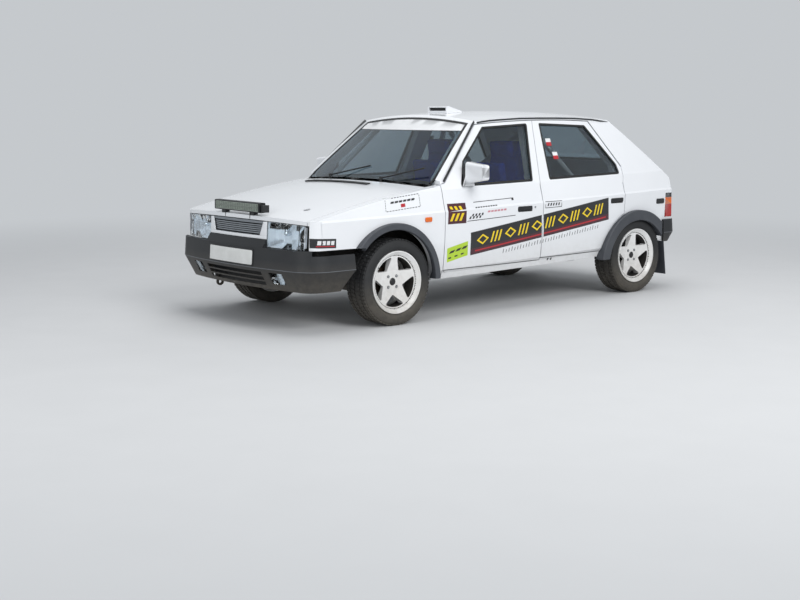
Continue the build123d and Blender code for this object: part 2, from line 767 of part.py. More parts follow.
def front_structure():
    """Bulkhead, cowl, inner wings with strut towers and the panel behind the lamps."""
    bulkhead_back = bulkhead_x - bulkhead_thickness
    wall = block(bulkhead_back, bulkhead_x, -wide, wide, 200, 905) & core & underside()
    cowl = block(bulkhead_x, far, -hood_half_width, hood_half_width, 868, 1100)
    cowl = cowl & hood_block(cowl_drop) & screen_block(-cowl_front + lid_gap)
    cowl = cowl - (block(0, door_front_x + shut_gap, -wide, wide, 0, far) - core)
    back, front = bulkhead_x + seat_gap, front_panel_x - seat_gap
    wing = block(back, front, inner_wing_y, inner_wing_y + sheet, 300, wing_shelf_z + sheet)
    shelf = block(back, front, inner_wing_y, wide, wing_shelf_z, wing_shelf_z + sheet)
    shelf = shelf & left_side(0.5, seat_gap)
    strut_y = strut_axis(tower_top_z)
    middle = (wing_shelf_z + tower_top_z) / 2
    tall = tower_top_z - wing_shelf_z
    tower = Pos(front_axle_x, strut_y, middle) * Cylinder(tower_radius + sheet, tall)
    hollow = Pos(front_axle_x, strut_y, middle - sheet) * Cylinder(tower_radius, tall)
    side = (wing + shelf + tower) - hollow
    side = side - (block(0, door_front_x + shut_gap, 0, wide, 0, far) - core)
    panel_top = hood_block(hood_thickness + 2 * lid_gap)
    panel = block(front_panel_x, front_panel_x + sheet, -lamp_outer_y, lamp_outer_y, 300, 760) & panel_top
    lug = tow_lug(tow_front_x, -tow_y, tow_front_z, front_panel_x, 320.0)
    passage = tunnel_space(bulkhead_back - 1, bulkhead_x + 1)
    return (wall - passage) + cowl + both_sides(side + hood_catch()) + panel + lug


def floor_pan():
    """Cabin floor with tunnel, boot floor, rear wheel houses and tail panel."""
    bulkhead_back = bulkhead_x - bulkhead_thickness
    reach = block(boot_front_x, bulkhead_back, -wide, wide, 0, 600)
    floor = (underside() - underside(floor_thickness)) & reach & core
    outer = tunnel_half_width + tunnel_wall
    tunnel = block(boot_front_x, bulkhead_back, -outer, outer, 260, tunnel_top_z) & underside()
    tunnel_inside = tunnel_space(boot_front_x - 50, bulkhead_back + 50)
    boot_top_z = boot_floor_z + boot_floor_thickness
    kick_back = boot_front_x - kick_depth
    kick = block(kick_back, boot_front_x, -wide, wide, 200, boot_top_z) & core & underside()
    boot = block(-far, kick_back - seat_gap, -wide, wide, boot_floor_z, boot_top_z) & core & rear_space
    tail = (rear_space - rear_block(tail_panel_thickness)) & core
    tail = tail & block(-far, tail_x + 400, -wide, wide, tail_underside_z, tail_lamp_bottom_z - 7)
    lug = tow_lug(tow_rear_x, tow_y, tow_rear_z, tow_rear_x + 106, boot_floor_z)
    pan = floor + tunnel + kick + boot + tail + lug
    pan = pan - tunnel_inside
    outside = arch_space(rear_arch, rear_axle_x, wheel_house_wall, wheel_house_y, wide)
    inside = arch_space(rear_arch, rear_axle_x, 0.0, wheel_house_y + wheel_house_wall, wide)
    house = (outside & core & block(-far, far, 0, wide, 330, far)) - inside
    return (pan - inside - mirror(inside, Plane.XZ)) + both_sides(house)


def lamp(y0, y1, back_x):
    """Lamp unit filling its opening in the nose."""
    low, high = lamp_bottom_z + seat_gap, far
    unit = block(back_x, far, y0, y1, low, high)
    return unit & nose_space & hood_block(hood_thickness + lid_gap)


def front_lamps():
    """Pair of head lamps and pair of fog lamps."""
    head = lamp(lamp_inner_y + seat_gap, lamp_outer_y, front_panel_x + sheet)
    fog = fog_pocket(seat_gap) & front_bumper_volume(6) & block(nose_x - 140, far, 0, wide, 0, far)
    return both_sides(head - nose_corner) + both_sides(fog)


def fog_pocket(shrink=0.0):
    """Opening of the left fog lamp in the bumper."""
    low, high = fog_bottom_z + shrink, fog_top_z - shrink
    return block(front_panel_x, far, fog_inner_y + shrink, fog_outer_y - shrink, low, high)


def grille():
    """Frame and level slats between the head lamps."""
    back = front_panel_x + sheet
    space = block(back, far, -lamp_inner_y, lamp_inner_y, grille_bottom_z, far)
    space = space & nose_space & hood_block(hood_thickness + lid_gap)
    hole_low, hole_high = grille_bottom_z + grille_strip, grille_top_z - grille_frame
    hole_half = lamp_inner_y - grille_frame
    opening = block(back - 1, far, -hole_half, hole_half, hole_low, hole_high)
    bars = None
    pitch = (hole_high - hole_low) / (grille_slats + 1)
    for i in range(grille_slats):
        z = hole_low + (i + 1) * pitch
        bar = block(back, far, -lamp_inner_y, lamp_inner_y, z - 4, z + 4) & nose_block(6)
        bars = bar if bars is None else bars + bar
    shallow = block(back, far, -wide, wide, 0, far) - nose_block(grille_depth + 60)
    return ((space - opening) + bars) & shallow


def bumper_volume(ahead, end_x, tip_x, half, cross_radius, corner, heights, sink=0.0):
    """Bumper's outside shape, drawn in by sink: its plan leans back above the seam and runs under it below.

    Ahead is 1 for the front bumper and -1 for the rear one; heights are bottom, seam and top.
    """
    bottom_z, seam_z, top_z = heights
    sections = Sketch()
    for z, lean in ((bottom_z, bumper_undercut), (seam_z, 0.0), (top_z - sink, bumper_lean)):
        inset = sink + abs(z - seam_z) * math.tan(math.radians(lean))
        y = half - inset
        tip = tip_x - ahead * inset
        shoulder = tip - ahead * y ** 2 / (2 * (cross_radius - inset))
        end = end_x + ahead * (inset - 5 * sink)
        plan = Sketch() + make_face([
            ThreePointArc((shoulder, y), (tip, 0), (shoulder, -y)),
            Polyline((shoulder, -y), (end, -y), (end, y), (shoulder, y)),
        ])
        corners = plan.vertices().sort_by(Axis.X)
        plan = fillet(corners[-2:] if ahead > 0 else corners[:2], corner - inset)
        sections += Pos(0, 0, z) * plan
    return loft(sections.faces().sort_by(Axis.Z), ruled=True)


def front_bumper_volume(sink=0.0):
    """Front bumper's outside shape without the rise behind the number plate."""
    heights = (bumper_bottom_z, bumper_seam_z, bumper_top_z)
    return bumper_volume(
        1, front_bumper_end_x, nose_x, bumper_half_width, nose_cross_radius, bumper_corner, heights, sink,
    )


def front_bumper():
    """Deep front bumper with air slots, lamp pockets and number-plate seat."""
    shell = front_bumper_volume() - front_bumper_volume(bumper_wall)
    rise_x = nose_x - plate_rise_step - (bumper_top_z - bumper_seam_z) * math.tan(math.radians(bumper_lean))
    low_z = bumper_top_z - bumper_wall / 2
    rise = block(front_panel_x, far, -lamp_inner_y + seat_gap, lamp_inner_y - seat_gap, low_z, plate_rise_z)
    slope = slope_between(rise_x, low_z, nose_x - plate_rise_back, plate_rise_z)
    shell = shell + (rise & barrel(rise_x, low_z, slope, nose_cross_radius))
    shell = shell - (nose_block(-seat_gap) & block(0, far, -wide, wide, 500, far))
    for z in slot_heights:
        shell = shell - block(front_panel_x, far, -slot_half_width, slot_half_width, z, z + slot_height)
    seat = block(nose_x - 5, far, -plate_size[0] / 2, plate_size[0] / 2,
                 plate_z - plate_size[1] / 2, plate_z + plate_size[1] / 2)
    return shell - both_sides(fog_pocket()) - seat


def rear_bumper_volume(sink=0.0):
    """Rear bumper's outside shape."""
    heights = (rear_bumper_bottom_z, rear_bumper_seam_z, rear_bumper_top_z)
    return bumper_volume(
        -1, rear_bumper_end_x, tail_x, rear_bumper_half_width, tail_cross_radius, rear_bumper_corner, heights, sink,
    )


def rear_bumper():
    """Rear bumper wrapped round the tail."""
    shell = rear_bumper_volume() - rear_bumper_volume(bumper_wall)
    return shell - (rear_block(-seat_gap) & body)


def arch_flare(arch, axle_x, track, low_cut, end_cut):
    """Plastic flare on one wheel arch, seated on the body side."""
    ring = arch_rod(arch, arch[3], 700, flare_face_y) - arch_rod(arch, arch[2], 600, wide)
    ring = fillet(ring.edges().filter_by(GeomType.CIRCLE).group_by(Axis.Y)[-1], 7.0)
    ring = ring - left_side(0.0, -seat_gap)
    ring = ring - rod(axle_x, tyre_radius, tyre_radius + tyre_clearance, 500, track / 2 + tyre_width / 2 + 6)
    return ring & low_cut & end_cut


def arch_trim():
    """Four wheel-arch flares and the two flaps behind the rear wheels."""
    upper = block(-far, far, 0, wide, flare_foot_z, far)
    ahead, behind = front_bumper_end_x - 62, rear_bumper_end_x + 68
    front_end = block(-far, ahead, 0, wide, 0, far) + block(ahead, far, 0, wide, bumper_top_z + 3, far)
    rear_end = block(behind, far, 0, wide, 0, far) + block(-far, behind, 0, wide, rear_bumper_top_z + 3, far)
    front = arch_flare(front_arch, front_axle_x, front_track, upper, front_end)
    rear = arch_flare(rear_arch, rear_axle_x, rear_track, upper, rear_end)
    top_z, foot_z = flap_heights
    flap = prism((
        (flap_top_x, top_z), (flap_foot_x, foot_z),
        (flap_foot_x - flap_thickness, foot_z), (flap_top_x - flap_thickness, top_z),
    ), *flap_span)
    flap = flap - (ground_cut - arch_space(rear_arch, rear_axle_x, -seat_gap))
    return both_sides(front) + both_sides(rear) + both_sides(flap)


def roof_vent():
    """Cabin air scoop on the roof."""
    low_z, sill_z, lip_z = roof_height - 20, roof_height + 2, roof_height + vent_rise
    front_x, back_x = vent_front_x, vent_front_x - vent_length
    side = (
        (front_x, low_z), (front_x, lip_z - 4), (front_x - 20, lip_z), (back_x, roof_height), (back_x, low_z),
    )
    scoop = prism(side, -vent_half_width, vent_half_width)
    opening = vent_half_width - vent_wall
    mouth = prism((
        (front_x + 10, sill_z), (front_x + 10, lip_z - 10), (front_x - 22, lip_z - 10), (front_x - 100, sill_z + 6),
    ), -opening, opening)
    return (scoop - mouth) - roof_block(-seat_gap)


def light_bar():
    """Lamp bar on two feet above the front edge of the lid."""
    housing = block(bar_back_x, bar_back_x + bar_depth, -bar_half_width, bar_half_width, *bar_heights)
    housing = fillet(housing.edges().filter_by(Axis.Y), 9.0)
    foot = block(bar_back_x + 10, bar_back_x + bar_depth - 8, 150, 190, 700, bar_heights[0] + 8)
    return housing + (both_sides(foot) - hood_block(-seat_gap))


def mirror_unit():
    """Left door mirror: tapered housing on its foot."""
    housing = loft([
        Plane(centre, z_dir=(0, 1, 0), x_dir=(1, 0, 0)) * RectangleRounded(depth, height, corner)
        for centre, depth, height, corner in mirror_sections
    ])
    foot = prism(mirror_foot, mirror_foot_y[0], mirror_foot_y[1])
    return (housing + foot) - left_side(0.0, -seat_gap)


def rim():
    """Five-spoke wheel about the Y axis, its open face towards +Y."""
    outside = (
        (rim_radius, rim_half), (rim_radius, rim_half - 9), (bead_radius, rim_half - 14),
        (bead_radius - 3, rim_half - 30), (rim_well + 8, rim_half - 46), (rim_well + 8, -20.0),
        (bead_radius - 3, -44.0), (bead_radius, -rim_half + 14), (rim_radius, -rim_half + 9),
        (rim_radius, -rim_half), (rim_radius - 6, -rim_half), (bead_radius - rim_wall, -rim_half + 12),
        (bead_radius - rim_wall, -46.0), (rim_well, -22.0), (rim_well, 10.0),
    )
    disc = (
        (60.0, 24.0), (44.0, 12.0), (0.0, 12.0), (0.0, 42.0), (hub_bore, 42.0), (hub_radius, 40.0),
        (rim_well + 6, 66.0), (rim_radius - 9, rim_half - 4), (rim_radius - 6, rim_half),
    )
    face = make_face(Polyline([(r, y, 0) for r, y in outside + disc], close=True))
    wheel = revolve(face, Axis.Y)
    tip = math.radians(180 / spoke_count - spoke_tip_half)
    apex, base = hub_radius + 8.0, rim_well - 1.0
    for i in range(spoke_count):
        middle = math.radians(90 + 180 / spoke_count + i * 360 / spoke_count)
        left = (base * math.cos(middle - tip), base * math.sin(middle - tip))
        right = (base * math.cos(middle + tip), base * math.sin(middle + tip))
        outer = (base * math.cos(middle), base * math.sin(middle))
        point = (apex * math.cos(middle), apex * math.sin(middle))
        lines = [
            Line((point[0], 0, point[1]), (left[0], 0, left[1])),
            ThreePointArc((left[0], 0, left[1]), (outer[0], 0, outer[1]), (right[0], 0, right[1])),
            Line((right[0], 0, right[1]), (point[0], 0, point[1])),
        ]
        window = extrude(make_face(lines), 120, dir=(0, 1, 0))
        window = fillet(window.edges().filter_by(Axis.Y), 9.0)
        wheel = wheel - window
    for i in range(bolt_count):
        turn = math.radians(45 + i * 360 / bolt_count)
        x, z = bolt_circle * math.cos(turn), bolt_circle * math.sin(turn)
        wheel = wheel - rod(x, z, 11.0, 26, 60)
        wheel = wheel - rod(x, z, 7.0, 0, 60)
    return wheel - rod(0, 0, hub_bore - 6, 30, 60)


def tyre():
    """Low-profile tyre about the Y axis."""
    half = tyre_width / 2
    bead = bead_radius + seat_gap
    side = bead + 0.42 * (tyre_radius - bead)
    outline = (
        (bead, rim_half - 14.8), (rim_radius + 1, rim_half - 9.8), (side, half),
        (tyre_radius - 22, half - 5), (tyre_radius - 5, half - 17), (tyre_radius, half - 34),
    )
    inner = ((tyre_radius - 14, half - 40), (side, half - 10), (bead, rim_half - 27))
    points = list(outline) + [(r, -y) for r, y in reversed(outline)]
    points += [(r, -y) for r, y in reversed(inner)] + list(inner)
    return revolve(make_face(Polyline([(r, y, 0) for r, y in points], close=True)), Axis.Y)


def steering_axis_point(z):
    """Point of the left steering axis at a height."""
    return (front_axle_x, strut_axis(z), z)


def kingpin_disc(z, radius, height):
    """Cylinder about the left steering axis, its middle at a height."""
    turn = Rot(kingpin_lean, 0, 0)
    return Pos(*steering_axis_point(z)) * turn * Cylinder(radius, height)


def knuckle():
    """Left front upright with its strut, ball pin and stub axle."""
    hub_y = front_track / 2
    carrier = block(front_axle_x - 38, front_axle_x + 38, 606, 636, 206, 372)
    low = block(front_axle_x - 24, front_axle_x + 24, 616, 672, 200, 232)
    stub = rod(front_axle_x, tyre_radius, 24, 620, hub_y + 11.5)
    flange = rod(front_axle_x, tyre_radius, 58, hub_y + 3, hub_y + 11.7)
    disc = rod(front_axle_x, tyre_radius, 96, 648, 668)
    clamp = block(front_axle_x - 26, front_axle_x + 26, 560, 610, 320, 366)
    lower_tube = Pos(front_axle_x, 568, 450) * Cylinder(21, 260)
    rod_top = Pos(front_axle_x, 567, 640) * Cylinder(11, 170)
    spring = Pos(front_axle_x, 567, 651) * (Cylinder(46, 110) - Cylinder(38, 111))
    seat = Pos(front_axle_x, 567, 592) * Cylinder(48, 10)
    top = kingpin_disc(strut_top_z - 22, 50, 16)
    pin = kingpin_disc(ball_joint_z + 12, 9, 31)
    body_piece = carrier + low + stub + flange + disc + clamp + lower_tube + rod_top + seat + top + pin
    return body_piece + spring


def front_suspension():
    """Cross member with its lower arms, rack and anti-roll bar."""
    member = block(1020, 1120, -433.7, 433.7, 176, 214)
    member = fillet(member.edges().filter_by(Axis.Y), 12)
    leg = block(1000, 1060, 300, 433.7, 205, 330)
    points = ((1128.0, 330.0), (1020.0, 330.0), (1096.0, 690.0), (1144.0, 690.0))
    plate = extrude(make_face(Polyline([(x, y, 168) for x, y in points], close=True)), 14, dir=(0, 0, 1))
    cup = kingpin_disc(ball_joint_z - 14, 20, 20)
    rack = rod(950, 330, 21, -385, 385)
    rack_foot = block(930, 1040, 300, 330, 300, 322)
    pad = block(1076, 1116, 150, 220, 205, engine_bottom_z - seat_gap)
    return member + both_sides(leg + plate + cup + rack_foot + pad) + rack


def rear_axle():
    """Torsion beam with its trailing arms and stub axles."""
    beam = rod(rear_axle_x + 170, 300, 34, -500, 500)
    axle_front_x = boot_front_x - kick_depth - seat_gap
    arm = prism((
        (axle_front_x, 318.0), (axle_front_x, 358.0), (rear_axle_x + 150, 340.0),
        (rear_axle_x - 40, 326.0), (rear_axle_x - 40, 256.0), (rear_axle_x + 150, 262.0),
    ), 490, 530)
    stub = rod(rear_axle_x, tyre_radius, 27, 526, rear_track / 2 + 11.5)
    drum = rod(rear_axle_x, tyre_radius, 112, 600, 650)
    flange = rod(rear_axle_x, tyre_radius, 58, rear_track / 2 + 3, rear_track / 2 + 11.7)
    spring_low, spring_high = 325.0, boot_floor_z - seat_gap
    spring = Pos(rear_axle_x + 40, 510, (spring_low + spring_high) / 2) * Cylinder(44, spring_high - spring_low)
    return beam + both_sides(arm + stub + drum + flange + spring)


def engine_block():
    """Engine and gearbox as one plain block."""
    return fillet(block(*engine_x, *engine_y, engine_bottom_z, engine_top_z).edges().filter_by(Axis.Z), 30)


def exhaust():
    """Exhaust pipe under the tunnel with its silencer and tail pipe."""
    path = FilletPolyline(*exhaust_path, radius=exhaust_bend)
    start = Plane(origin=path @ 0, z_dir=path % 0)
    pipe = sweep(start * Circle(exhaust_radius), path=path)
    can = Pos(*silencer_place) * Rot(0, 90, 0) * Cylinder(*silencer_size)
    return pipe + can


def seat(y):
    """Bucket seat: pan, winged back and head wings."""
    shell = prism(seat_outline, y - seat_half, y + seat_half)
    shell = shell - prism(seat_hollow, y - seat_inner_half, y + seat_inner_half)
    for side in (-1, 1):
        inner, outer = y + side * seat_shoulder_half, y + side * 2 * seat_shoulder_half
        shell = shell - block(-500, 0, min(inner, outer), max(inner, outer), seat_shoulder_z, far)
        rail = block(*seat_rail_x, y + side * seat_rail_y[0], y + side * seat_rail_y[1], 250, 336)
        shell = shell + (rail & underside(floor_thickness + seat_gap))
    return shell


def roll_cage():
    """Main hoop, roof bars, front legs, rear stays, diagonal and door bars."""
    radius = cage_tube / 2
    foot = (hoop_x, 590.0, 292.0)
    waist = (hoop_x, 590.0, 860.0)
    top = (hoop_x, 466.0, roof_height - 100)
    header = (238.0, 455.0, roof_height - 125)
    dash = (560.0, 585.0, 936.0)
    front_foot = (560.0, 585.0, 320.0)
    stay = (-1210.0, 585.0, 545.0)
    runs = (
        (foot, waist), (waist, top), (top, header), (header, dash), (dash, front_foot), (top, stay),
        ((hoop_x, 590.0, 640.0), (500.0, 588.0, 450.0)),
    )
    left = None
    for a, b in runs:
        bar = tube_between(a, b, radius) + Pos(*b) * Sphere(radius + weld_bead)
        left = bar if left is None else left + bar
    cross = tube_between(top, (top[0], -top[1], top[2]), radius)
    cross = cross + tube_between(header, (header[0], -header[1], header[2]), radius)
    cross = cross + tube_between(top, (waist[0], -waist[1], waist[2] - 200), radius)
    cage = both_sides(left) + cross
    houses = arch_space(rear_arch, rear_axle_x, wheel_house_wall + seat_gap)
    ground = block(-far, far, -wide, wide, 0, far) - underside(floor_thickness + seat_gap)
    return cage - houses - ground


def dashboard():
    """Dashboard moulding across the cabin."""
    back = bulkhead_x - bulkhead_thickness - seat_gap
    side = ((back, 780.0), (back, 900.0)) + dash_outline
    shroud = column_plane() * Pos(0, 0, -column_length) * Cylinder(30, 100)
    bore = column_plane() * Pos(0, 0, -column_length / 2 - 2) * Cylinder(column_radius + column_play, column_length)
    return (prism(side, -dash_half_width, dash_half_width) + shroud) - bore


def column_plane():
    """Plane of the steering wheel's rim, its normal up the column."""
    slope = math.radians(column_slope)
    return Plane(origin=column_end, z_dir=(-math.cos(slope), 0, math.sin(slope)), x_dir=(0, 1, 0))


def steering_wheel():
    """Three-spoke wheel on its column."""
    plane = column_plane()
    ring = plane * Torus(*steering_rim)
    hub = plane * Pos(0, 0, -10) * Cylinder(34, 24)
    shaft = plane * Pos(0, 0, -column_length / 2) * Cylinder(column_radius, column_length)
    wheel = ring + hub + shaft
    for turn in (90, 210, 330):
        wheel = wheel + plane * Rot(0, 0, turn) * Pos(85, 0, -6) * Box(140, 30, 8)
    return wheel


def wipers():
    """Two parked wiper arms at the foot of the windscreen."""
    arms = None
    for y in wiper_pivots_y:
        pivot = (wiper_pivot_x, y, wiper_pivot_z)
        tip = (wiper_pivot_x - wiper_reach[0], y + wiper_reach[1], wiper_pivot_z + wiper_reach[2])
        arm = tube_between(pivot, tip, wiper_radius)
        arm = arm + Pos(wiper_pivot_x, y, wiper_pivot_z - 20) * Cylinder(wiper_pivot_radius, 60)
        arms = arm if arms is None else arms + arm
    return arms - screen_block(screen_inset - seat_gap) - hood_block(cowl_drop - seat_gap)


def tail_lamps():
    """Lamp clusters wrapped round both rear corners."""
    unit = body & rear_space & tail_lamp_box()
    return both_sides(unit - hatch_tool(lid_gap))


def save(shape, name):
    """Writes one node."""
    export_step(shape, f"parts/{name}.step")


def build():
    """Makes and writes every node."""
    left_door, left_rear_door = front_door(), rear_door()
    front_pane, rear_pane = door_glass(front_window), door_glass(rear_window)
    left_mirror, left_knuckle = mirror_unit(), knuckle()
    for side, flip in (("left", False), ("right", True)):
        for name, shape in (
            ("door_front", left_door),
            ("door_rear", left_rear_door),
            ("glass_front", front_pane),
            ("glass_rear", rear_pane),
            ("mirror", left_mirror),
            ("knuckle", left_knuckle),
        ):
            save(mirror(shape, Plane.XZ) if flip else shape, f"{name}_{side}")
    wheel, rubber = rim(), tyre()
    for corner, x, y in (
        ("front", front_axle_x, front_track / 2),
        ("rear", rear_axle_x, rear_track / 2),
    ):
        for side, sign in (("left", 1), ("right", -1)):
            place = Pos(x, sign * y, tyre_radius)
            for name, shape in (("rim", wheel), ("tyre", rubber)):
                piece = place * shape if sign > 0 else place * mirror(shape, Plane.XZ)
                save(piece, f"{name}_{corner}_{side}")
    for name, shape in (
        ("body_sides", both_sides(body_side())),
        ("roof_panel", roof_panel()),
        ("front_structure", front_structure()),
        ("front_fenders", both_sides(front_fender())),
        ("floor_pan", floor_pan()),
        ("hood", hood()),
        ("hatch", hatch()),
        ("hatch_glass", hatch_glass()),
        ("windscreen", windscreen()),
        ("front_bumper", front_bumper()),
        ("rear_bumper", rear_bumper()),
        ("grille", grille()),
        ("front_lamps", front_lamps()),
        ("tail_lamps", tail_lamps()),
        ("arch_trim", arch_trim()),
        ("roof_vent", roof_vent()),
        ("light_bar", light_bar()),
        ("wipers", wipers()),
        ("seats", seat(seat_y) + seat(-seat_y)),
        ("roll_cage", roll_cage()),
        ("dashboard", dashboard()),
        ("steering_wheel", steering_wheel()),
        ("front_suspension", front_suspension()),
        ("rear_axle", rear_axle()),
        ("engine_block", engine_block()),
        ("exhaust", exhaust()),
    ):
        save(shape, name)


if __name__ == "__main__":
    build()
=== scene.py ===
import logging
import math
from contextlib import contextmanager
from dataclasses import dataclass
from enum import Enum
from typing import Iterable, Iterator, Sequence

import bpy
from mathutils import Matrix, Vector


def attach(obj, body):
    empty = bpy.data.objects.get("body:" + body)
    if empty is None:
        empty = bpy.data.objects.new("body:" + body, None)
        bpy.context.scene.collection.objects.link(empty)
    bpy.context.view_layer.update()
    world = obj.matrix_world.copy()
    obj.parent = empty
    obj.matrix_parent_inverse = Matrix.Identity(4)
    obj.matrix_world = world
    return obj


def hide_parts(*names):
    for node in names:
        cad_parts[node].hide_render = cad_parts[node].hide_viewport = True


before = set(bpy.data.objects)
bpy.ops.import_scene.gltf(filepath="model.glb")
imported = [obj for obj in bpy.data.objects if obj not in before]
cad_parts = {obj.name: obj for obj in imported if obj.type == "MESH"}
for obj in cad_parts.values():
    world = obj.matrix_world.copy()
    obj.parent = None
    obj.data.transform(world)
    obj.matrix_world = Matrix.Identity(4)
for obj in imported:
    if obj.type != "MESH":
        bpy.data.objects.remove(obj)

LOG = logging.getLogger("rally_car")
MM = 0.001
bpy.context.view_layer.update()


class Pattern(Enum):
    """How a finish is broken up over its surface."""

    PLAIN = "even"
    WOVEN = "woven threads"
    FLUTED = "upright flutes pressed in glass"


def linear(code: str) -> tuple[float, float, float, float]:
    """Turns an sRGB hex colour into linear RGBA.

    Args:
        code: six hex digits.

    Returns:
        Linear red, green, blue and an alpha of 1.
    """
    parts = [int(code[i:i + 2], 16) / 255 for i in (0, 2, 4)]
    curve = [p / 12.92 if p <= 0.04045 else ((p + 0.055) / 1.055) ** 2.4 for p in parts]
    return (curve[0], curve[1], curve[2], 1.0)


def add_node(tree: bpy.types.NodeTree, kind: str, settings: dict | None = None,
             links: dict | None = None) -> bpy.types.Node:
    """Adds one shader node.

    Args:
        tree: node tree that the node joins.
        kind: Blender's class name of the node.
        settings: attribute or input names and their values.
        links: input names and the sockets that feed them.

    Returns:
        The new node.
    """
    made = tree.nodes.new(kind)
    for key, value in (settings or {}).items():
        if isinstance(key, str) and hasattr(made, key):
            setattr(made, key, value)
        else:
            made.inputs[key].default_value = value
    for key, socket in (links or {}).items():
        tree.links.new(socket, made.inputs[key])
    return made


@dataclass(frozen=True)
class Finish:
    """A surface as it was made: its colours, gloss and the relief that the eye meets.

    Lengths are in millimetres.
    """

    name: str
    colour: str
    worn: str
    roughness: float = 0.4
    spread: float = 0.08
    metallic: float = 0.0
    ior: float = 1.5
    coat: float = 0.0
    transmission: float = 0.0
    patch: float = 300.0
    grain: float = 2.0
    depth: float = 0.0
    dust: str = ""
    dust_top: float = 520.0
    pattern: Pattern = Pattern.PLAIN
    # Emission of the surface's own colour: painted light on parts that are no lamps
    glow: float = 0.0

    def material(self) -> bpy.types.Material:
        """Gives the finish's material, built on first use.

        Returns:
            The material.
        """
        found = bpy.data.materials.get(self.name)
        return found if found else self._build()

    def _build(self) -> bpy.types.Material:
        """Builds the node tree.

        Returns:
            The new material.
        """
        made = bpy.data.materials.new(self.name)
        made.use_nodes = True
        tree = made.node_tree
        tree.nodes.clear()
        place = add_node(tree, "ShaderNodeTexCoord").outputs["Object"]
        cloud = add_node(tree, "ShaderNodeTexNoise",
                         {"Scale": 1000 / self.patch, "Detail": 4.0, "Roughness": 0.6}, {"Vector": place})
        share = add_node(tree, "ShaderNodeMapRange", {"From Min": 0.35, "From Max": 0.75},
                         {"Value": cloud.outputs["Fac"]}).outputs["Result"]
        tone = add_node(tree, "ShaderNodeMix", {"data_type": "RGBA", 6: linear(self.colour), 7: linear(self.worn)},
                        {0: share}).outputs[2]
        if self.dust:
            tone = self._dusted(tree, place, tone)
        gloss = add_node(tree, "ShaderNodeMapRange",
                         {"To Min": max(self.roughness - self.spread, 0.0), "To Max": self.roughness + self.spread},
                         {"Value": cloud.outputs["Fac"]}).outputs["Result"]
        shader = add_node(tree, "ShaderNodeBsdfPrincipled",
                          {"Metallic": self.metallic, "IOR": self.ior, "Coat Weight": self.coat,
                           "Coat Roughness": 0.04, "Transmission Weight": self.transmission},
                          {"Base Color": tone, "Roughness": gloss})
        # Painted glow: the surface emits its own colour
        if self.glow:
            shader.inputs["Emission Color"].default_value = linear(self.colour)
            shader.inputs["Emission Strength"].default_value = self.glow
        if self.depth:
            relief = self._relief(tree, place)
            bump = add_node(tree, "ShaderNodeBump", {"Strength": 0.6, "Distance": self.depth * MM},
                            {"Height": relief})
            tree.links.new(bump.outputs["Normal"], shader.inputs["Normal"])
        add_node(tree, "ShaderNodeOutputMaterial", {}, {"Surface": shader.outputs["BSDF"]})
        return made

    def _dusted(self, tree: bpy.types.NodeTree, place: bpy.types.NodeSocket,
                tone: bpy.types.NodeSocket) -> bpy.types.NodeSocket:
        """Lays road dust over the lower part of the car.

        Args:
            tree: node tree of the material.
            place: object coordinates.
            tone: colour so far.

        Returns:
            The dusted colour.
        """
        height = add_node(tree, "ShaderNodeSeparateXYZ", {}, {"Vector": place}).outputs["Z"]
        low = add_node(tree, "ShaderNodeMapRange",
                       {"From Min": self.dust_top * MM, "From Max": 0.12, "To Min": 0.0, "To Max": 0.75},
                       {"Value": height}).outputs["Result"]
        specks = add_node(tree, "ShaderNodeTexNoise", {"Scale": 24.0, "Detail": 6.0, "Roughness": 0.7},
                          {"Vector": place}).outputs["Fac"]
        amount = add_node(tree, "ShaderNodeMath", {"operation": "MULTIPLY"}, {0: low, 1: specks}).outputs[0]
        return add_node(tree, "ShaderNodeMix", {"data_type": "RGBA", 7: linear(self.dust)},
                        {0: amount, 6: tone}).outputs[2]

    def _relief(self, tree: bpy.types.NodeTree, place: bpy.types.NodeSocket) -> bpy.types.NodeSocket:
        """Gives the height that the bump reads.

        Args:
            tree: node tree of the material.
            place: object coordinates.

        Returns:
            Height socket.
        """
        waves = 1000 / self.grain / 6.28
        if self.pattern is Pattern.WOVEN:
            wave = add_node(tree, "ShaderNodeTexWave", {"Scale": waves}, {"Vector": place})
            other = add_node(tree, "ShaderNodeTexWave", {"Scale": waves, "bands_direction": "Z"}, {"Vector": place})
            return add_node(tree, "ShaderNodeMath", {"operation": "MAXIMUM"},
                            {0: wave.outputs["Fac"], 1: other.outputs["Fac"]}).outputs[0]
        if self.pattern is Pattern.FLUTED:
            return add_node(tree, "ShaderNodeTexWave", {"Scale": waves, "bands_direction": "Y"},
                            {"Vector": place}).outputs["Fac"]
        return add_node(tree, "ShaderNodeTexNoise", {"Scale": 1000 / self.grain, "Detail": 3.0},
                        {"Vector": place}).outputs["Fac"]


# Two-pack acrylic paint, sprayed and clear-coated: white with a faint blue, orange peel, dust low down
WHITE_PAINT = Finish("acrylic_white_paint", "E9EBEE", "E3E5E8", 0.22, 0.05, coat=0.7, patch=900, grain=5, depth=0.02,
                     dust="9B9384")
# The same paint brushed thinner inside the shell
INNER_PAINT = Finish("inner_shell_paint", "C9CBCC", "B4B4B2", 0.45, patch=200, grain=4, depth=0.05)
# Cage tubes, powder coated white
CAGE_PAINT = Finish("powder_coated_tube", "D9DBDC", "CFD0D0", 0.4, grain=1.5, depth=0.04)
# Wheels, white stove enamel with dust towards the bottom; the dark inner barrels are painted shade, a second material
WHEEL_PAINT = Finish("stove_enamel_white", "EDEDEC", "E2E1DF", 0.34, 0.08, coat=0.3, patch=60, grain=3, depth=0.03,
                     dust="8E8474", dust_top=420)
# Bumpers, textured polypropylene greyed by sun
BUMPER_PLASTIC = Finish("textured_polypropylene", "191B1E", "232528", 0.55, 0.1, patch=160, grain=1.6, depth=0.12,
                        dust="8A8172", dust_top=460)
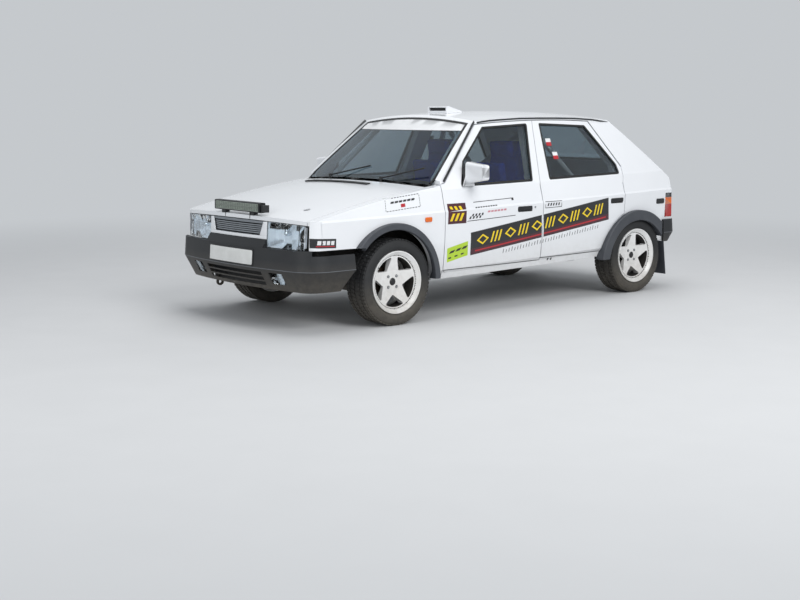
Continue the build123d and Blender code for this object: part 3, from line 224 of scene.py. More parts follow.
# Small fittings, moulded black nylon
BLACK_PLASTIC = Finish("moulded_black_nylon", "141517", "1D1E20", 0.42, 0.08, patch=80, grain=1.2, depth=0.05)
# Window seals, extruded EPDM rubber
SEAL_RUBBER = Finish("extruded_epdm_rubber", "121314", "1C1D1E", 0.6, 0.08, patch=60, grain=1.0, depth=0.04)
# Drip moulding, satin grey-black trim strip
TRIM_STRIP = Finish("anodised_trim_strip", "26282A", "333537", 0.4, 0.1, metallic=0.2, patch=50, grain=1.2, depth=0.03)
# Tyres, carbon-black rubber with a dusty bloom
TYRE_RUBBER = Finish("carbon_black_rubber", "1C1D1F", "28292A", 0.72, 0.12, patch=70, grain=1.6, depth=0.15,
                     dust="6E675B", dust_top=330)
# Side windows, clear float glass with a grey film
SIDE_GLASS = Finish("tinted_float_glass", "B6C0C4", "AEB8BE", 0.02, 0.01, transmission=1.0, ior=1.45)
# Windscreen, laminated glass with a blue-green cast
SCREEN_GLASS = Finish("laminated_glass", "A6B6BE", "9EAEB8", 0.02, 0.01, transmission=1.0, ior=1.45)
# Lamp lenses, pressed clear glass
CLEAR_LENS = Finish("pressed_clear_glass", "F2F6F8", "E8EEF0", 0.03, 0.02, transmission=1.0, ior=1.45,
                    pattern=Pattern.FLUTED, grain=9, depth=0.5)
# Rear lamps, red and amber acrylic
RED_LENS = Finish("red_acrylic", "B4160E", "A0120C", 0.12, 0.03, coat=0.5, pattern=Pattern.FLUTED, grain=8, depth=0.4)
AMBER_LENS = Finish("amber_acrylic", "E0670C", "D2600C", 0.12, 0.03, coat=0.5, pattern=Pattern.FLUTED, grain=8,
                    depth=0.4)
# Lamp reflectors, vacuum-metallised steel
REFLECTOR = Finish("vacuum_metallised_steel", "DDE3E8", "C9D0D6", 0.12, 0.04, metallic=1.0)
# Grille, painted grey plastic
GRILLE_PLASTIC = Finish("painted_grey_grille", "8A8F94", "787D82", 0.35, 0.08, metallic=0.4, patch=40, grain=1.5,
                        depth=0.03)
# Seat cloth, blue polyester weave
SEAT_CLOTH = Finish("polyester_seat_cloth", "2F55D8", "274AC0", 0.85, 0.06, patch=60, grain=2.4, depth=0.5,
                    pattern=Pattern.WOVEN)
# Dashboard, flocked black plastic
DASH_PLASTIC = Finish("flocked_dashboard", "141516", "1B1C1D", 0.85, 0.05, patch=90, grain=1.0, depth=0.1)
# Steering wheel, black suede
WHEEL_SUEDE = Finish("black_suede", "131313", "1D1C1C", 0.9, 0.05, patch=30, grain=1.2, depth=0.2)
# Chassis parts, black stove paint over steel
CHASSIS_PAINT = Finish("black_chassis_paint", "1A1B1C", "35302A", 0.5, 0.12, patch=60, grain=2, depth=0.1,
                       dust="7E7464", dust_top=420)
# Cast iron uprights
CAST_IRON = Finish("cast_iron", "4A4642", "5E4A3A", 0.6, 0.12, metallic=0.7, patch=40, grain=2.5, depth=0.3)
# Engine block, cast aluminium
CAST_ALUMINIUM = Finish("cast_aluminium", "8E9092", "76777A", 0.48, 0.1, metallic=0.9, patch=60, grain=2.2, depth=0.25)
# Exhaust, aluminised steel dulled by heat
EXHAUST_STEEL = Finish("aluminised_steel", "77716A", "5C4E42", 0.5, 0.12, metallic=0.9, patch=70, grain=2, depth=0.1)
# Zinc-plated fasteners
ZINC = Finish("zinc_plated_steel", "A9ABAE", "8C8E90", 0.35, 0.08, metallic=1.0, patch=10, grain=1, depth=0.05)


def vinyl(colour: str, fresh: str, worn: str, roughness: float = 0.3) -> Finish:
    """Cast vinyl film in one of the livery's colours."""
    return Finish(f"{colour}_vinyl", fresh, worn, roughness, 0.05, coat=0.2, patch=120, grain=3, depth=0.01)


VINYL_BLACK = vinyl("black", "191A1C", "222325")
VINYL_WHITE = vinyl("white", "E6E7E8", "DADBDC")
VINYL_MAROON = vinyl("maroon", "4A1E28", "421A24")
VINYL_RED = vinyl("red", "B8222C", "A81E28")
VINYL_YELLOW = vinyl("yellow", "F2D21B", "E4C418")
VINYL_ROSE = vinyl("rose", "C98A94", "BE7E88", 0.35)
VINYL_LIME = vinyl("lime", "B5D435", "A8C82E")
# Wheel-arch flares, greyer than the bumpers
FLARE_PLASTIC = Finish("flare_polypropylene", "3A3D43", "46494E", 0.55, 0.1, patch=160, grain=1.6, depth=0.12)
# Blank enamelled number plate
PLATE_ENAMEL = Finish("plate_enamel", "DDDEDC", "D0D1CE", 0.35, 0.06, coat=0.3, patch=90, grain=2, depth=0.02)
# Paler rubbing line let into the bumpers
SEAM_PLASTIC = Finish("bumper_seam_plastic", "5A5D61", "66696D", 0.5, 0.08, patch=120, grain=1.6, depth=0.05)
# Greenish-grey moulded cells of the lamp bar
LAMP_CELL = Finish("lamp_cell_plastic", "8D978C", "7B857B", 0.25, 0.06, coat=0.6, patch=30, grain=1, depth=0.02)
# Smoked end of the tail lamps
SMOKE_LENS = Finish("smoked_acrylic", "2C2A2C", "383436", 0.12, 0.03, coat=0.5, pattern=Pattern.FLUTED, grain=8,
                    depth=0.4)
# Metallised bowls behind the lamp glass, a little dull with age; their faint glow is painted light, since the lamps are
# not lit
LAMP_BOWL = Finish("lamp_bowl_metal", "E4ECF4", "CFDAE6", 0.5, 0.08, metallic=0.35, patch=40, grain=2, depth=0.02,
                   glow=0.22)
# Painted shade on the inner barrels of the wheels, dark where the spokes and arches shade them
BARREL_PAINTED_SHADE = Finish("dusted_wheel_enamel", "2E2B28", "24211E", 0.6, 0.1, patch=30, grain=2, depth=0.05)
# Plain dark sheet in the mouths of the roof scoop and the air dam: painted shade for the dark space behind them
SHADE_SHEET = Finish("painted_shade_sheet", "0C0C0D", "151516", 0.6, 0.1, patch=30, grain=1, depth=0.2)

CORNERS = [f"{end}_{side}" for end in ("front", "rear") for side in ("left", "right")]
NODE_FINISHES: dict[str, Finish] = {node: finish for finish, nodes in (
    (WHITE_PAINT, "body_sides roof_panel front_fenders hood hatch roof_vent mirror_left mirror_right"),
    (CHASSIS_PAINT, "front_structure front_suspension rear_axle"),
    (BUMPER_PLASTIC, "front_bumper rear_bumper"),
    (BLACK_PLASTIC, "wipers light_bar"),
    (SCREEN_GLASS, "windscreen hatch_glass"),
    (CAST_IRON, "knuckle_left knuckle_right"),
    (INNER_PAINT, "floor_pan"), (FLARE_PLASTIC, "arch_trim"), (GRILLE_PLASTIC, "grille"),
    (CLEAR_LENS, "front_lamps"), (RED_LENS, "tail_lamps"), (SEAT_CLOTH, "seats"), (CAGE_PAINT, "roll_cage"),
    (DASH_PLASTIC, "dashboard"), (WHEEL_SUEDE, "steering_wheel"), (CAST_ALUMINIUM, "engine_block"),
    (EXHAUST_STEEL, "exhaust"),
    *((finish, " ".join(f"{kind}_{corner}" for corner in CORNERS)) for kind, finish in (
        ("door", WHITE_PAINT), ("glass", SIDE_GLASS), ("rim", WHEEL_PAINT), ("tyre", TYRE_RUBBER))),
) for node in nodes.split()}


def deselect_all() -> None:
    """Leaves object mode with nothing selected."""
    if bpy.context.object and bpy.context.object.mode != "OBJECT":
        bpy.ops.object.mode_set(mode="OBJECT")
    bpy.ops.object.select_all(action="DESELECT")


def take_up(obj: bpy.types.Object) -> None:
    """Selects one object and makes it the active one."""
    deselect_all()
    obj.select_set(True)
    bpy.context.view_layer.objects.active = obj


@contextmanager
def editing(obj: bpy.types.Object, kind: str = "", action: str = "SELECT") -> Iterator[None]:
    """Opens a mesh in edit mode and leaves it after the work.

    Args:
        obj: mesh object.
        kind: VERT or FACE where the work needs that kind of selection.
        action: what is done to the selection first, or nothing to keep it.
    """
    take_up(obj)
    bpy.ops.object.mode_set(mode="EDIT")
    if kind:
        bpy.ops.mesh.select_mode(type=kind)
    if action:
        bpy.ops.mesh.select_all(action=action)
    yield
    bpy.ops.object.mode_set(mode="OBJECT")


def select_parts(obj: bpy.types.Object, kind: str, chosen: Iterable[int]) -> None:
    """Selects some of a mesh's points or faces and nothing else.

    Args:
        obj: mesh object.
        kind: VERT or FACE.
        chosen: their numbers.
    """
    with editing(obj, kind, "DESELECT"):  # clears the selection of every kind
        pass
    parts = obj.data.vertices if kind == "VERT" else obj.data.polygons
    for index in chosen:
        parts[index].select = True


def drop(obj: bpy.types.Object, kind: str, chosen: Iterable[int]) -> None:
    """Deletes some of a mesh's points or faces.

    Args:
        obj: mesh object.
        kind: VERT or FACE.
        chosen: their numbers.
    """
    select_parts(obj, kind, chosen)
    with editing(obj, action=""):
        bpy.ops.mesh.delete(type=kind)


def dress(obj: bpy.types.Object, finish: Finish) -> None:
    """Gives an object one material.

    Args:
        obj: mesh object.
        finish: its finish.
    """
    obj.data.materials.clear()
    obj.data.materials.append(finish.material())


def apply_modifier(obj: bpy.types.Object, kind: str, **settings: object) -> None:
    """Adds a modifier and applies it.

    Args:
        obj: mesh object.
        kind: Blender's name of the modifier type.
        settings: values of the modifier.
    """
    take_up(obj)
    made = obj.modifiers.new(kind.title(), kind)
    for key, value in settings.items():
        setattr(made, key, value)
    bpy.ops.object.modifier_apply(modifier=made.name)


def smooth(obj: bpy.types.Object, angle: float = 32.0) -> None:
    """Shades an object smooth where its faces meet at less than the angle."""
    take_up(obj)
    bpy.ops.object.shade_smooth_by_angle(angle=math.radians(angle))


def cad_copy(node: str, name: str) -> bpy.types.Object:
    """Copies a CAD node's mesh into a new merged piece.

    Args:
        node: CAD node.
        name: name of the piece.

    Returns:
        The new object, at the origin.
    """
    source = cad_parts[node]
    made = bpy.data.objects.new(name, source.data.copy())
    bpy.context.scene.collection.objects.link(made)
    with editing(made):
        bpy.ops.mesh.remove_doubles(threshold=0.00002)
    return made


def finish_piece(obj: bpy.types.Object, body: str, finish: Finish,
                 angle: float = 32.0) -> bpy.types.Object:
    """Fixes a piece's place in its mesh, shades and dresses it, and lets it ride.

    Args:
        obj: mesh object.
        body: CAD body that carries it.
        finish: its finish.
        angle: crease angle for shading, in degrees.

    Returns:
        The same object.
    """
    take_up(obj)
    bpy.ops.object.transform_apply(location=True, rotation=True, scale=True)
    smooth(obj, angle)
    dress(obj, finish)
    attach(obj, body)
    LOG.info("%s: %d faces on %s", obj.name, len(obj.data.polygons), body)
    return obj


class View(Enum):
    """Side of the car from which a sheet is laid on it."""

    LEFT = "from the left"
    RIGHT = "from the right"
    FRONT = "from the front"
    REAR = "from behind"
    TOP = "from above"

    @property
    def stand(self) -> Matrix:
        """Matrix that stands a flat sheet up outside the car."""
        return Matrix({
            "LEFT": ((1, 0, 0, 0), (0, 0, -1, 1.4), (0, 1, 0, 0), (0, 0, 0, 1)),
            "RIGHT": ((1, 0, 0, 0), (0, 0, -1, -1.4), (0, 1, 0, 0), (0, 0, 0, 1)),
            "FRONT": ((0, 0, 1, 2.4), (1, 0, 0, 0), (0, 1, 0, 0), (0, 0, 0, 1)),
            "REAR": ((0, 0, 1, -2.4), (1, 0, 0, 0), (0, 1, 0, 0), (0, 0, 0, 1)),
            "TOP": ((1, 0, 0, 0), (0, 1, 0, 0), (0, 0, 1, 2.0), (0, 0, 0, 1)),
        }[self.name])

    @property
    def backwards(self) -> bool:
        """True where the stood-up sheet faces the car and has to be turned over."""
        return self.name in ("LEFT", "REAR")

    @property
    def inward(self) -> Vector:
        """Direction from the viewer to the car."""
        return Vector({"LEFT": (0, -1, 0), "RIGHT": (0, 1, 0), "FRONT": (-1, 0, 0), "REAR": (1, 0, 0),
                       "TOP": (0, 0, -1)}[self.name])


SIDES = (("left", 1, View.LEFT), ("right", -1, View.RIGHT))
Point = tuple[float, float]
Outline = Sequence[Point]


def flip(obj: bpy.types.Object) -> None:
    """Turns a mesh's faces over."""
    with editing(obj):
        bpy.ops.mesh.flip_normals()


def keep_where(obj: bpy.types.Object, *planes: tuple[Sequence[float], Sequence[float]], fill: bool = False) -> None:
    """Cuts a mesh at planes and keeps what lies behind them.

    Args:
        obj: mesh object.
        planes: point in millimetres and unit normal of each plane; what is in front of it goes.
        fill: True to close the cuts.
    """
    with editing(obj):
        for point, normal in planes:
            bpy.ops.mesh.select_all(action="SELECT")
            bpy.ops.mesh.bisect(plane_co=[v * MM for v in point], plane_no=normal, clear_outer=True, use_fill=fill)


def cut_sheet(name: str, outline: Outline, view: View, pitch: float) -> bpy.types.Object:
    """Cuts a flat sheet to a convex outline and stands it outside the car.

    Args:
        name: name of the piece.
        outline: corners in millimetres, as (x, z) from a side, (y, z) from an end, (x, y) from above.
        view: side that it is seen from.
        pitch: greatest edge of its squares in millimetres.

    Returns:
        The new sheet, its faces towards the viewer.
    """
    us, vs = [p[0] for p in outline], [p[1] for p in outline]
    spans = (max(us) - min(us), max(vs) - min(vs))
    counts = [max(1, math.ceil(span / pitch)) for span in spans]
    deselect_all()
    bpy.ops.mesh.primitive_grid_add(x_subdivisions=counts[0], y_subdivisions=counts[1], size=1)
    made = bpy.context.object
    made.name = made.data.name = name
    made.scale = (spans[0] * MM, spans[1] * MM, 1)
    made.location = ((max(us) + min(us)) / 2 * MM, (max(vs) + min(vs)) / 2 * MM, 0)
    bpy.ops.object.transform_apply(location=True, rotation=True, scale=True)
    corners = list(zip(outline, list(outline[1:]) + [outline[0]]))
    turn = 1 if sum(a[0] * b[1] - b[0] * a[1] for a, b in corners) > 0 else -1
    keep_where(made, *(((u0, v0, 0), Vector((turn * (v1 - v0), -turn * (u1 - u0), 0)).normalized())
                       for (u0, v0), (u1, v1) in corners if min(abs(u0 - u1), abs(v0 - v1)) > 0.01))
    made.data.transform(view.stand)
    if view.backwards:
        flip(made)
    return made


def lay(obj: bpy.types.Object, node: str, view: View, lift: float) -> None:
    """Lays a sheet on a CAD node.

    Args:
        obj: sheet in front of the node.
        node: CAD node.
        view: side that the sheet comes from.
        lift: distance off the surface in millimetres.
    """
    inward = view.inward
    axis = max(range(3), key=lambda i: abs(inward[i]))
    start = obj.data.vertices[0].co[axis]
    apply_modifier(obj, "SHRINKWRAP", target=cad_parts[node], wrap_method="PROJECT", wrap_mode="ABOVE_SURFACE",
                   offset=lift * MM, use_project_x=axis == 0, use_project_y=axis == 1, use_project_z=axis == 2,
                   use_positive_direction=inward[axis] > 0, use_negative_direction=inward[axis] < 0)
    missed = [v.index for v in obj.data.vertices if abs(v.co[axis] - start) < 1e-4]
    if missed:
        LOG.warning("%s: %d of %d points miss %s", obj.name, len(missed), len(obj.data.vertices), node)
        drop(obj, "VERT", missed)


def thicken(obj: bpy.types.Object, depth: float, round_edge: float = 0.0) -> None:
    """Gives a sheet a wall outwards, and rounds its edges.

    Args:
        obj: sheet.
        depth: wall in millimetres, negative to grow inwards.
        round_edge: width of the rounding in millimetres.
    """
    apply_modifier(obj, "SOLIDIFY", thickness=abs(depth) * MM, offset=1.0 if depth > 0 else -1.0)
    if round_edge:
        apply_modifier(obj, "BEVEL", width=round_edge * MM, segments=2, limit_method="ANGLE",
                       angle_limit=math.radians(50), use_clamp_overlap=True)


def oblong(u0: float, u1: float, v0: float, v1: float) -> list[Point]:
    """Corners of an upright rectangle, from its low first corner round."""
    return [(u0, v0), (u1, v0), (u1, v1), (u0, v1)]


def between(first: Point, last: Point, share: float) -> Point:
    """Point at a share of the way from first to last."""
    return (first[0] + (last[0] - first[0]) * share, first[1] + (last[1] - first[1]) * share)


def cell_of(corners: Outline, s0: float, s1: float, t0: float, t1: float, lean: float = 0.0) -> list[Point]:
    """Part of a four-cornered field, between shares of its length and of its height.

    Args:
        corners: low front, low rear, high rear and high front corner.
        s0: start along the field.
        s1: end along the field.
        t0: lower edge.
        t1: upper edge.
        lean: shift of the upper edge along the field.

    Returns:
        Four corners.
    """
    def at(s: float, t: float) -> Point:
        return between(between(corners[0], corners[1], s), between(corners[3], corners[2], s), t)

    return [at(s0, t0), at(s1, t0), at(s1 + lean, t1), at(s0 + lean, t1)]


def row_of(corners: Outline, count: int, start: float, step: float, width: float, t0: float, t1: float,
           lean: float = 0.0) -> list[list[Point]]:
    """Row of equal cells along a four-cornered field, in shares of its length and height.

    Args:
        corners: corners of the field, as in cell_of.
        count: number of cells.
        start: start of the first cell.
        step: distance from one start to the next.
        width: width of a cell.
        t0: lower edge.
        t1: upper edge.
        lean: shift of the upper edge along the field.

    Returns:
        Outlines of the cells.
    """
    starts = [start + i * step for i in range(count)]
    return [cell_of(corners, s, s + width, t0, t1, lean) for s in starts]


def join(parts: Sequence[bpy.types.Object], name: str) -> bpy.types.Object:
    """Joins meshes into one.

    Args:
        parts: objects to join.
        name: name of the result.

    Returns:
        The joined object.
    """
    take_up(parts[0])
    for part in parts:
        part.select_set(True)
    if len(parts) > 1:
        bpy.ops.object.join()
    made = bpy.context.object
    made.name = made.data.name = name
    return made


def copy_of(obj: bpy.types.Object, name: str, matrix: Matrix) -> bpy.types.Object:
    """Copies a mesh through a matrix, with its faces turned out again if the matrix mirrors it.

    Args:
        obj: object to copy.
        name: name of the copy.
        matrix: movement of the mesh.

    Returns:
        The copy, with a mesh of its own.
    """
    made = bpy.data.objects.new(name, obj.data.copy())
    bpy.context.scene.collection.objects.link(made)
    made.data.transform(matrix)
    if matrix.determinant() < 0:
        flip(made)
    return made


def moulded_block(name: str, low: Sequence[float], high: Sequence[float], edge: float,
                  segments: int = 3) -> bpy.types.Object:
    """Moulds a block with rounded edges between two corners.

    Args:
        name: name of the piece.
        low: lowest corner in millimetres.
        high: highest corner in millimetres.
        edge: width of the rounding in millimetres.
        segments: steps of the rounding.

    Returns:
        The block.
    """
    deselect_all()
    middle = [(a + b) / 2 * MM for a, b in zip(low, high)]
    bpy.ops.mesh.primitive_cube_add(size=1, location=middle)
    made = bpy.context.object
    made.name = made.data.name = name
    made.scale = [(b - a) * MM for a, b in zip(low, high)]
    bpy.ops.object.transform_apply(location=True, rotation=True, scale=True)
    with editing(made):
        bpy.ops.mesh.bevel(offset=edge * MM, segments=segments, affect="EDGES")
    return made


def turned(name: str, profile: Sequence[tuple[float, float]], steps: int = 32,
           closed: bool = False) -> bpy.types.Object:
    """Spins a profile about the Y axis.

    Args:
        name: name of the piece.
        profile: (radius, y) points in millimetres; its ends lie on the axis unless it is closed.
        steps: steps of the spin.
        closed: True for a ring, whose profile ends where it starts.

    Returns:
        The turned piece.
    """
    mesh = bpy.data.meshes.new(name)
    last = len(profile)
    edges = [(i, i + 1) for i in range(last - 1)] + ([(last - 1, 0)] if closed else [])
    mesh.from_pydata([(r * MM, y * MM, 0) for r, y in profile], edges, [])
    made = bpy.data.objects.new(name, mesh)
    bpy.context.scene.collection.objects.link(made)
    with editing(made):
        bpy.ops.mesh.spin(steps=steps, angle=math.tau, center=(0, 0, 0), axis=(0, 1, 0))
        bpy.ops.mesh.select_all(action="SELECT")
        bpy.ops.mesh.remove_doubles(threshold=0.00001)
        bpy.ops.mesh.normals_make_consistent(inside=False)
    return made


def skin_copy(node: str, name: str, toward: Sequence[float], least: float = 0.5) -> bpy.types.Object:
    """Copies the faces of a CAD node that look one way.

    Args:
        node: CAD node.
        name: name of the piece.
        toward: direction that the faces look in.
        least: least cosine between a face's normal and that direction.

    Returns:
        The open skin.
    """
    made = cad_copy(node, name)
    aim = Vector(toward).normalized()
    drop(made, "FACE", [face.index for face in made.data.polygons if face.normal.dot(aim) < least])
    return made


def frame_of(obj: bpy.types.Object, width: float, keep_ring: bool = True) -> None:
    """Insets a skin, and keeps either the ring along its edge or what lies inside it.

    Args:
        obj: open skin.
        width: width of the ring in millimetres.
        keep_ring: True to keep the ring.
    """
    with editing(obj, "FACE"):
        bpy.ops.mesh.inset(thickness=width * MM, depth=0, use_even_offset=True)
        if not keep_ring:
            bpy.ops.mesh.select_all(action="INVERT")
        bpy.ops.mesh.delete(type="FACE")


def surface_at(node: str, view: View, u: float, v: float) -> Vector:
    """Finds the point of a CAD node's surface under a place.

    Args:
        node: CAD node.
        view: side that it is seen from.
        u: first coordinate in millimetres.
        v: second coordinate in millimetres.

    Returns:
        The point in metres.
    """
    start = view.stand @ Vector((u * MM, v * MM, 0))
    hit, point, _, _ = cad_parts[node].ray_cast(start, view.inward)
    if not hit:
        raise ValueError(f"nothing of {node} at {u}, {v}")
    return point


def rounded(u: float, v: float, width: float, height: float, corner: float) -> list[Point]:
    """Outline of a rectangle with rounded corners, about its middle."""
    points = []
    for i, (a, b) in enumerate(((1, 1), (-1, 1), (-1, -1), (1, -1))):
        for k in range(4):
            turn = math.radians(90 * i + 30 * k)
            points.append((u + a * (width / 2 - corner) + corner * math.cos(turn),
                           v + b * (height / 2 - corner) + corner * math.sin(turn)))
    return points


def overlay(name: str, outlines: Sequence[Outline], view: View, node: str, body: str, finish: Finish,
            lift: float = 0.3, depth: float = 0.3, pitch: float = 30.0, round_edge: float = 0.0) -> bpy.types.Object:
    """Makes one sticker, strip or plate of one or more outlines, which follows a CAD node.

    Args:
        name: name of the piece.
        outlines: convex outlines in millimetres.
        view: side that they are laid on from.
        node: CAD node that they lie on.
        body: CAD body that carries them.
        finish: their finish.
        lift: distance of the back off the node in millimetres.
        depth: thickness in millimetres.
        pitch: greatest edge of a square in millimetres.
        round_edge: width of the edge rounding in millimetres.

    Returns:
        The finished piece.
    """
    made = join([cut_sheet(f"{name}_{i}", outline, view, pitch) for i, outline in enumerate(outlines)], name)
    lay(made, node, view, lift)
    thicken(made, depth, round_edge)
    return finish_piece(made, body, finish)


@dataclass
class CadDress:
    """Materials of the CAD nodes that stay as they are."""

    barrel: Point = (130.0, 178.0)

    def build(self) -> None:
        """Dresses and shades every CAD node."""
        for name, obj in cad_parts.items():
            dress(obj, NODE_FINISHES[name])
            if name.startswith("rim_"):
                self._paint_barrel_shade(obj)
            smooth(obj, 30.0)
        LOG.info("dressed %d CAD nodes", len(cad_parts))

    def _paint_barrel_shade(self, rim: bpy.types.Object) -> None:
        """Paints shade on the inside of a wheel's barrel: its inward-facing faces get a dark second material."""
        rim.data.materials.append(BARREL_PAINTED_SHADE.material())
        hub = sum((Vector(c) for c in rim.bound_box), Vector()) / 8
        for face in rim.data.polygons:
            out = face.center - hub
            out.y = 0.0
            inside = self.barrel[0] < out.length * 1000 < self.barrel[1]
            # Inward-facing faces of the barrel band take the dark material: painted shade
            if inside and face.normal.dot(out.normalized()) < -0.6:
                face.material_index = 1


@dataclass
class Livery:
    """Vinyl stickers on the wings and doors: plain motifs in the photographed colours.

    The fields hold each sticker's low front, low rear, high rear and high front corner.
    """

    banner: Outline = ((457.0, 418.0), (-990.0, 587.0), (-977.0, 753.0), (463.0, 576.0))
    front_share: float = 0.484
    rear_share: float = 0.498
    motif: Point = (0.36, 0.82)
    motifs: int = 10
    ticks: int = 36
    panel: Outline = ((508.0, 645.0), (675.0, 645.0), (672.0, 782.0), (507.0, 783.0))
    strip: Outline = ((500.0, 654.0), (36.0, 672.0), (46.0, 799.0), (431.0, 785.0))
    lime: Outline = ((668.0, 384.0), (482.0, 421.0), (487.0, 520.0), (674.0, 480.0))
    wing: Outline = ((1772.0, 552.0), (1600.0, 545.0), (1600.0, 604.0), (1772.0, 612.0))
    pale: Outline = ((1204.0, 748.0), (896.0, 772.0), (894.0, 866.0), (1198.0, 838.0))
    framed: Outline = ((-270.0, 708.0), (-446.0, 711.0), (-446.0, 757.0), (-270.0, 757.0))
    jacks: tuple[Point, ...] = ((684.0, 323.0), (-362.0, 331.0))
    shut_line: float = -250.0

    def build(self) -> None:
        """Lays the stickers on both sides."""
        for side, _, view in SIDES:
            self._banner(side, view)
            self._start_panel(side, view)
            self._door_strip(side, view)
            self._lime_sticker(side, view)
            self._wing_stickers(side, view)
            self._framed_sticker(side, view)
            self._jack_marks(side, view)

    def _put(self, name: str, shapes: list[Outline], side: str, view: View, node: str, finish: Finish,
             lift: float = 0.3, pitch: float = 30.0) -> None:
        """Lays outlines of one colour on one node.

        Args:
            name: name of the piece, without the side.
            shapes: outlines.
            side: left or right.
            view: side that they are laid on from.
            node: CAD node, without the side where it is a door.
            finish: their vinyl.
            lift: distance off the node in millimetres.
            pitch: greatest edge of a square in millimetres.
        """
        door = node.startswith("door_")
        node = f"{node}_{side}" if door else node
        overlay(f"{name}_{side}", shapes, view, node, node if door else "shell", finish, lift=lift, pitch=pitch)

    def _on_doors(self, name: str, shapes: list[Outline], side: str, view: View, finish: Finish, lift: float) -> None:
        """Lays outlines of one colour on the two doors of a side, without those that cross the shut line."""
        front = [shape for shape in shapes if min(p[0] for p in shape) > self.shut_line + 2]
        rear = [shape for shape in shapes if max(p[0] for p in shape) < self.shut_line - 2]
        for end, part in (("front", front), ("rear", rear)):
            self._put(f"{name}_{end}", part, side, view, f"door_{end}", finish, lift)

    def _banner(self, side: str, view: View) -> None:
        """Long banner over both doors: black, with a red line and a row of diamonds and slanted bars."""
        halves = ((0.0, self.front_share), (self.rear_share, 1.0))
        low, high = self.motif
        pitch = 0.93 / self.motifs
        pattern: list[Outline] = []
        for i in range(self.motifs):
            start = 0.035 + i * pitch + (0.006 if i >= self.motifs // 2 else 0.0)
            if i % 2 == 0:
                pattern += self._diamond(start + pitch * 0.46, (low + high) / 2, pitch * 0.42, (high - low) / 2)
            else:
                pattern += row_of(self.banner, 3, start, pitch * 0.27, pitch * 0.11, low, high, pitch * 0.2)
        ticks = [cell_of(self.banner, 0.215 + i * 0.0198, 0.2186 + i * 0.0198, -0.27,
                         -0.27 + (0.19, 0.13, 0.16)[i % 3], lean=0.004) for i in range(self.ticks)]
        for name, shapes, finish, lift in (
            ("banner", [cell_of(self.banner, a, b, 0, 1) for a, b in halves], VINYL_BLACK, 0.3),
            ("banner_band", [cell_of(self.banner, a + 0.004, b - 0.004, 0.03, 0.27) for a, b in halves],
             VINYL_MAROON, 0.6),
            ("banner_line", [cell_of(self.banner, max(a, 0.03), min(b, 0.975), 0.12, 0.18) for a, b in halves],
             VINYL_RED, 0.9),
            ("banner_motif", pattern, VINYL_YELLOW, 0.6),
            ("banner_ticks", ticks, VINYL_BLACK, 0.3),
        ):
            self._on_doors(name, shapes, side, view, finish, lift)

    def _diamond(self, s: float, t: float, half_s: float, half_t: float) -> list[Outline]:
        """Four strokes of a hollow diamond in the banner's field.

        Args:
            s: place of its middle along the banner.
            t: place of its middle up the banner.
            half_s: half its length.
            half_t: half its height.

        Returns:
            Outlines of the strokes.
        """
        def corners(scale: float) -> list[Point]:
            steps = ((-1, 0), (0, -1), (1, 0), (0, 1))
            places = [(s + a * half_s * scale, t + b * half_t * scale) for a, b in steps]
            return [cell_of(self.banner, a, a, b, b)[0] for a, b in places]

        outer, inner = corners(1.0), corners(0.66)
        return [[outer[i], outer[(i + 1) % 4], inner[(i + 1) % 4], inner[i]] for i in range(4)]

    def _start_panel(self, side: str, view: View) -> None:
        """Square start panel on the front door: maroon with three yellow chevrons."""
        self._put("start_panel", [self.panel], side, view, "door_front", VINYL_MAROON)
        shapes: list[Outline] = []
        for a in (0.13, 0.38, 0.63):
            shapes += [cell_of(self.panel, a, a + 0.13, 0.5, 0.86, lean=0.14),
                       cell_of(self.panel, a + 0.14, a + 0.27, 0.14, 0.5, lean=-0.14)]
        self._put("start_chevrons", shapes, side, view, "door_front", VINYL_YELLOW, 0.6)

    def _door_strip(self, side: str, view: View) -> None:
        """White strip behind the start panel, edged by two thin lines, with a row of checks."""
        dark = [cell_of(self.strip, 0, 1, 0, 0.035), cell_of(self.strip, 0, 1, 0.965, 1.0),
                cell_of(self.strip, 0.95, 1.0, 0.86, 0.965)]
        dark += row_of(self.strip, 9, 0.08, 0.058, 0.04, 0.66, 0.72, -0.004)
        for row in range(2):
            dark += row_of(self.strip, 4, 0.02 + row * 0.034, 0.068, 0.034, 0.12 + row * 0.13, 0.25 + row * 0.13)
        self._put("strip_lines", dark, side, view, "door_front", VINYL_BLACK)
        rose = row_of(self.strip, 6, 0.38, 0.072, 0.055, 0.36, 0.46)
        self._put("strip_dashes", rose, side, view, "door_front", VINYL_ROSE)

    def _lime_sticker(self, side: str, view: View) -> None:
        """Lime sticker low on the front door, with slanted black stripes."""
        self._put("lime_sticker", [self.lime], side, view, "door_front", VINYL_LIME)
        stripes = row_of(self.lime, 3, 0.08, 0.3, 0.22, 0.56, 0.72, 0.1)
        stripes += row_of(self.lime, 3, 0.06, 0.3, 0.14, 0.2, 0.3)
        self._put("lime_stripes", stripes, side, view, "door_front", VINYL_BLACK, 0.6)

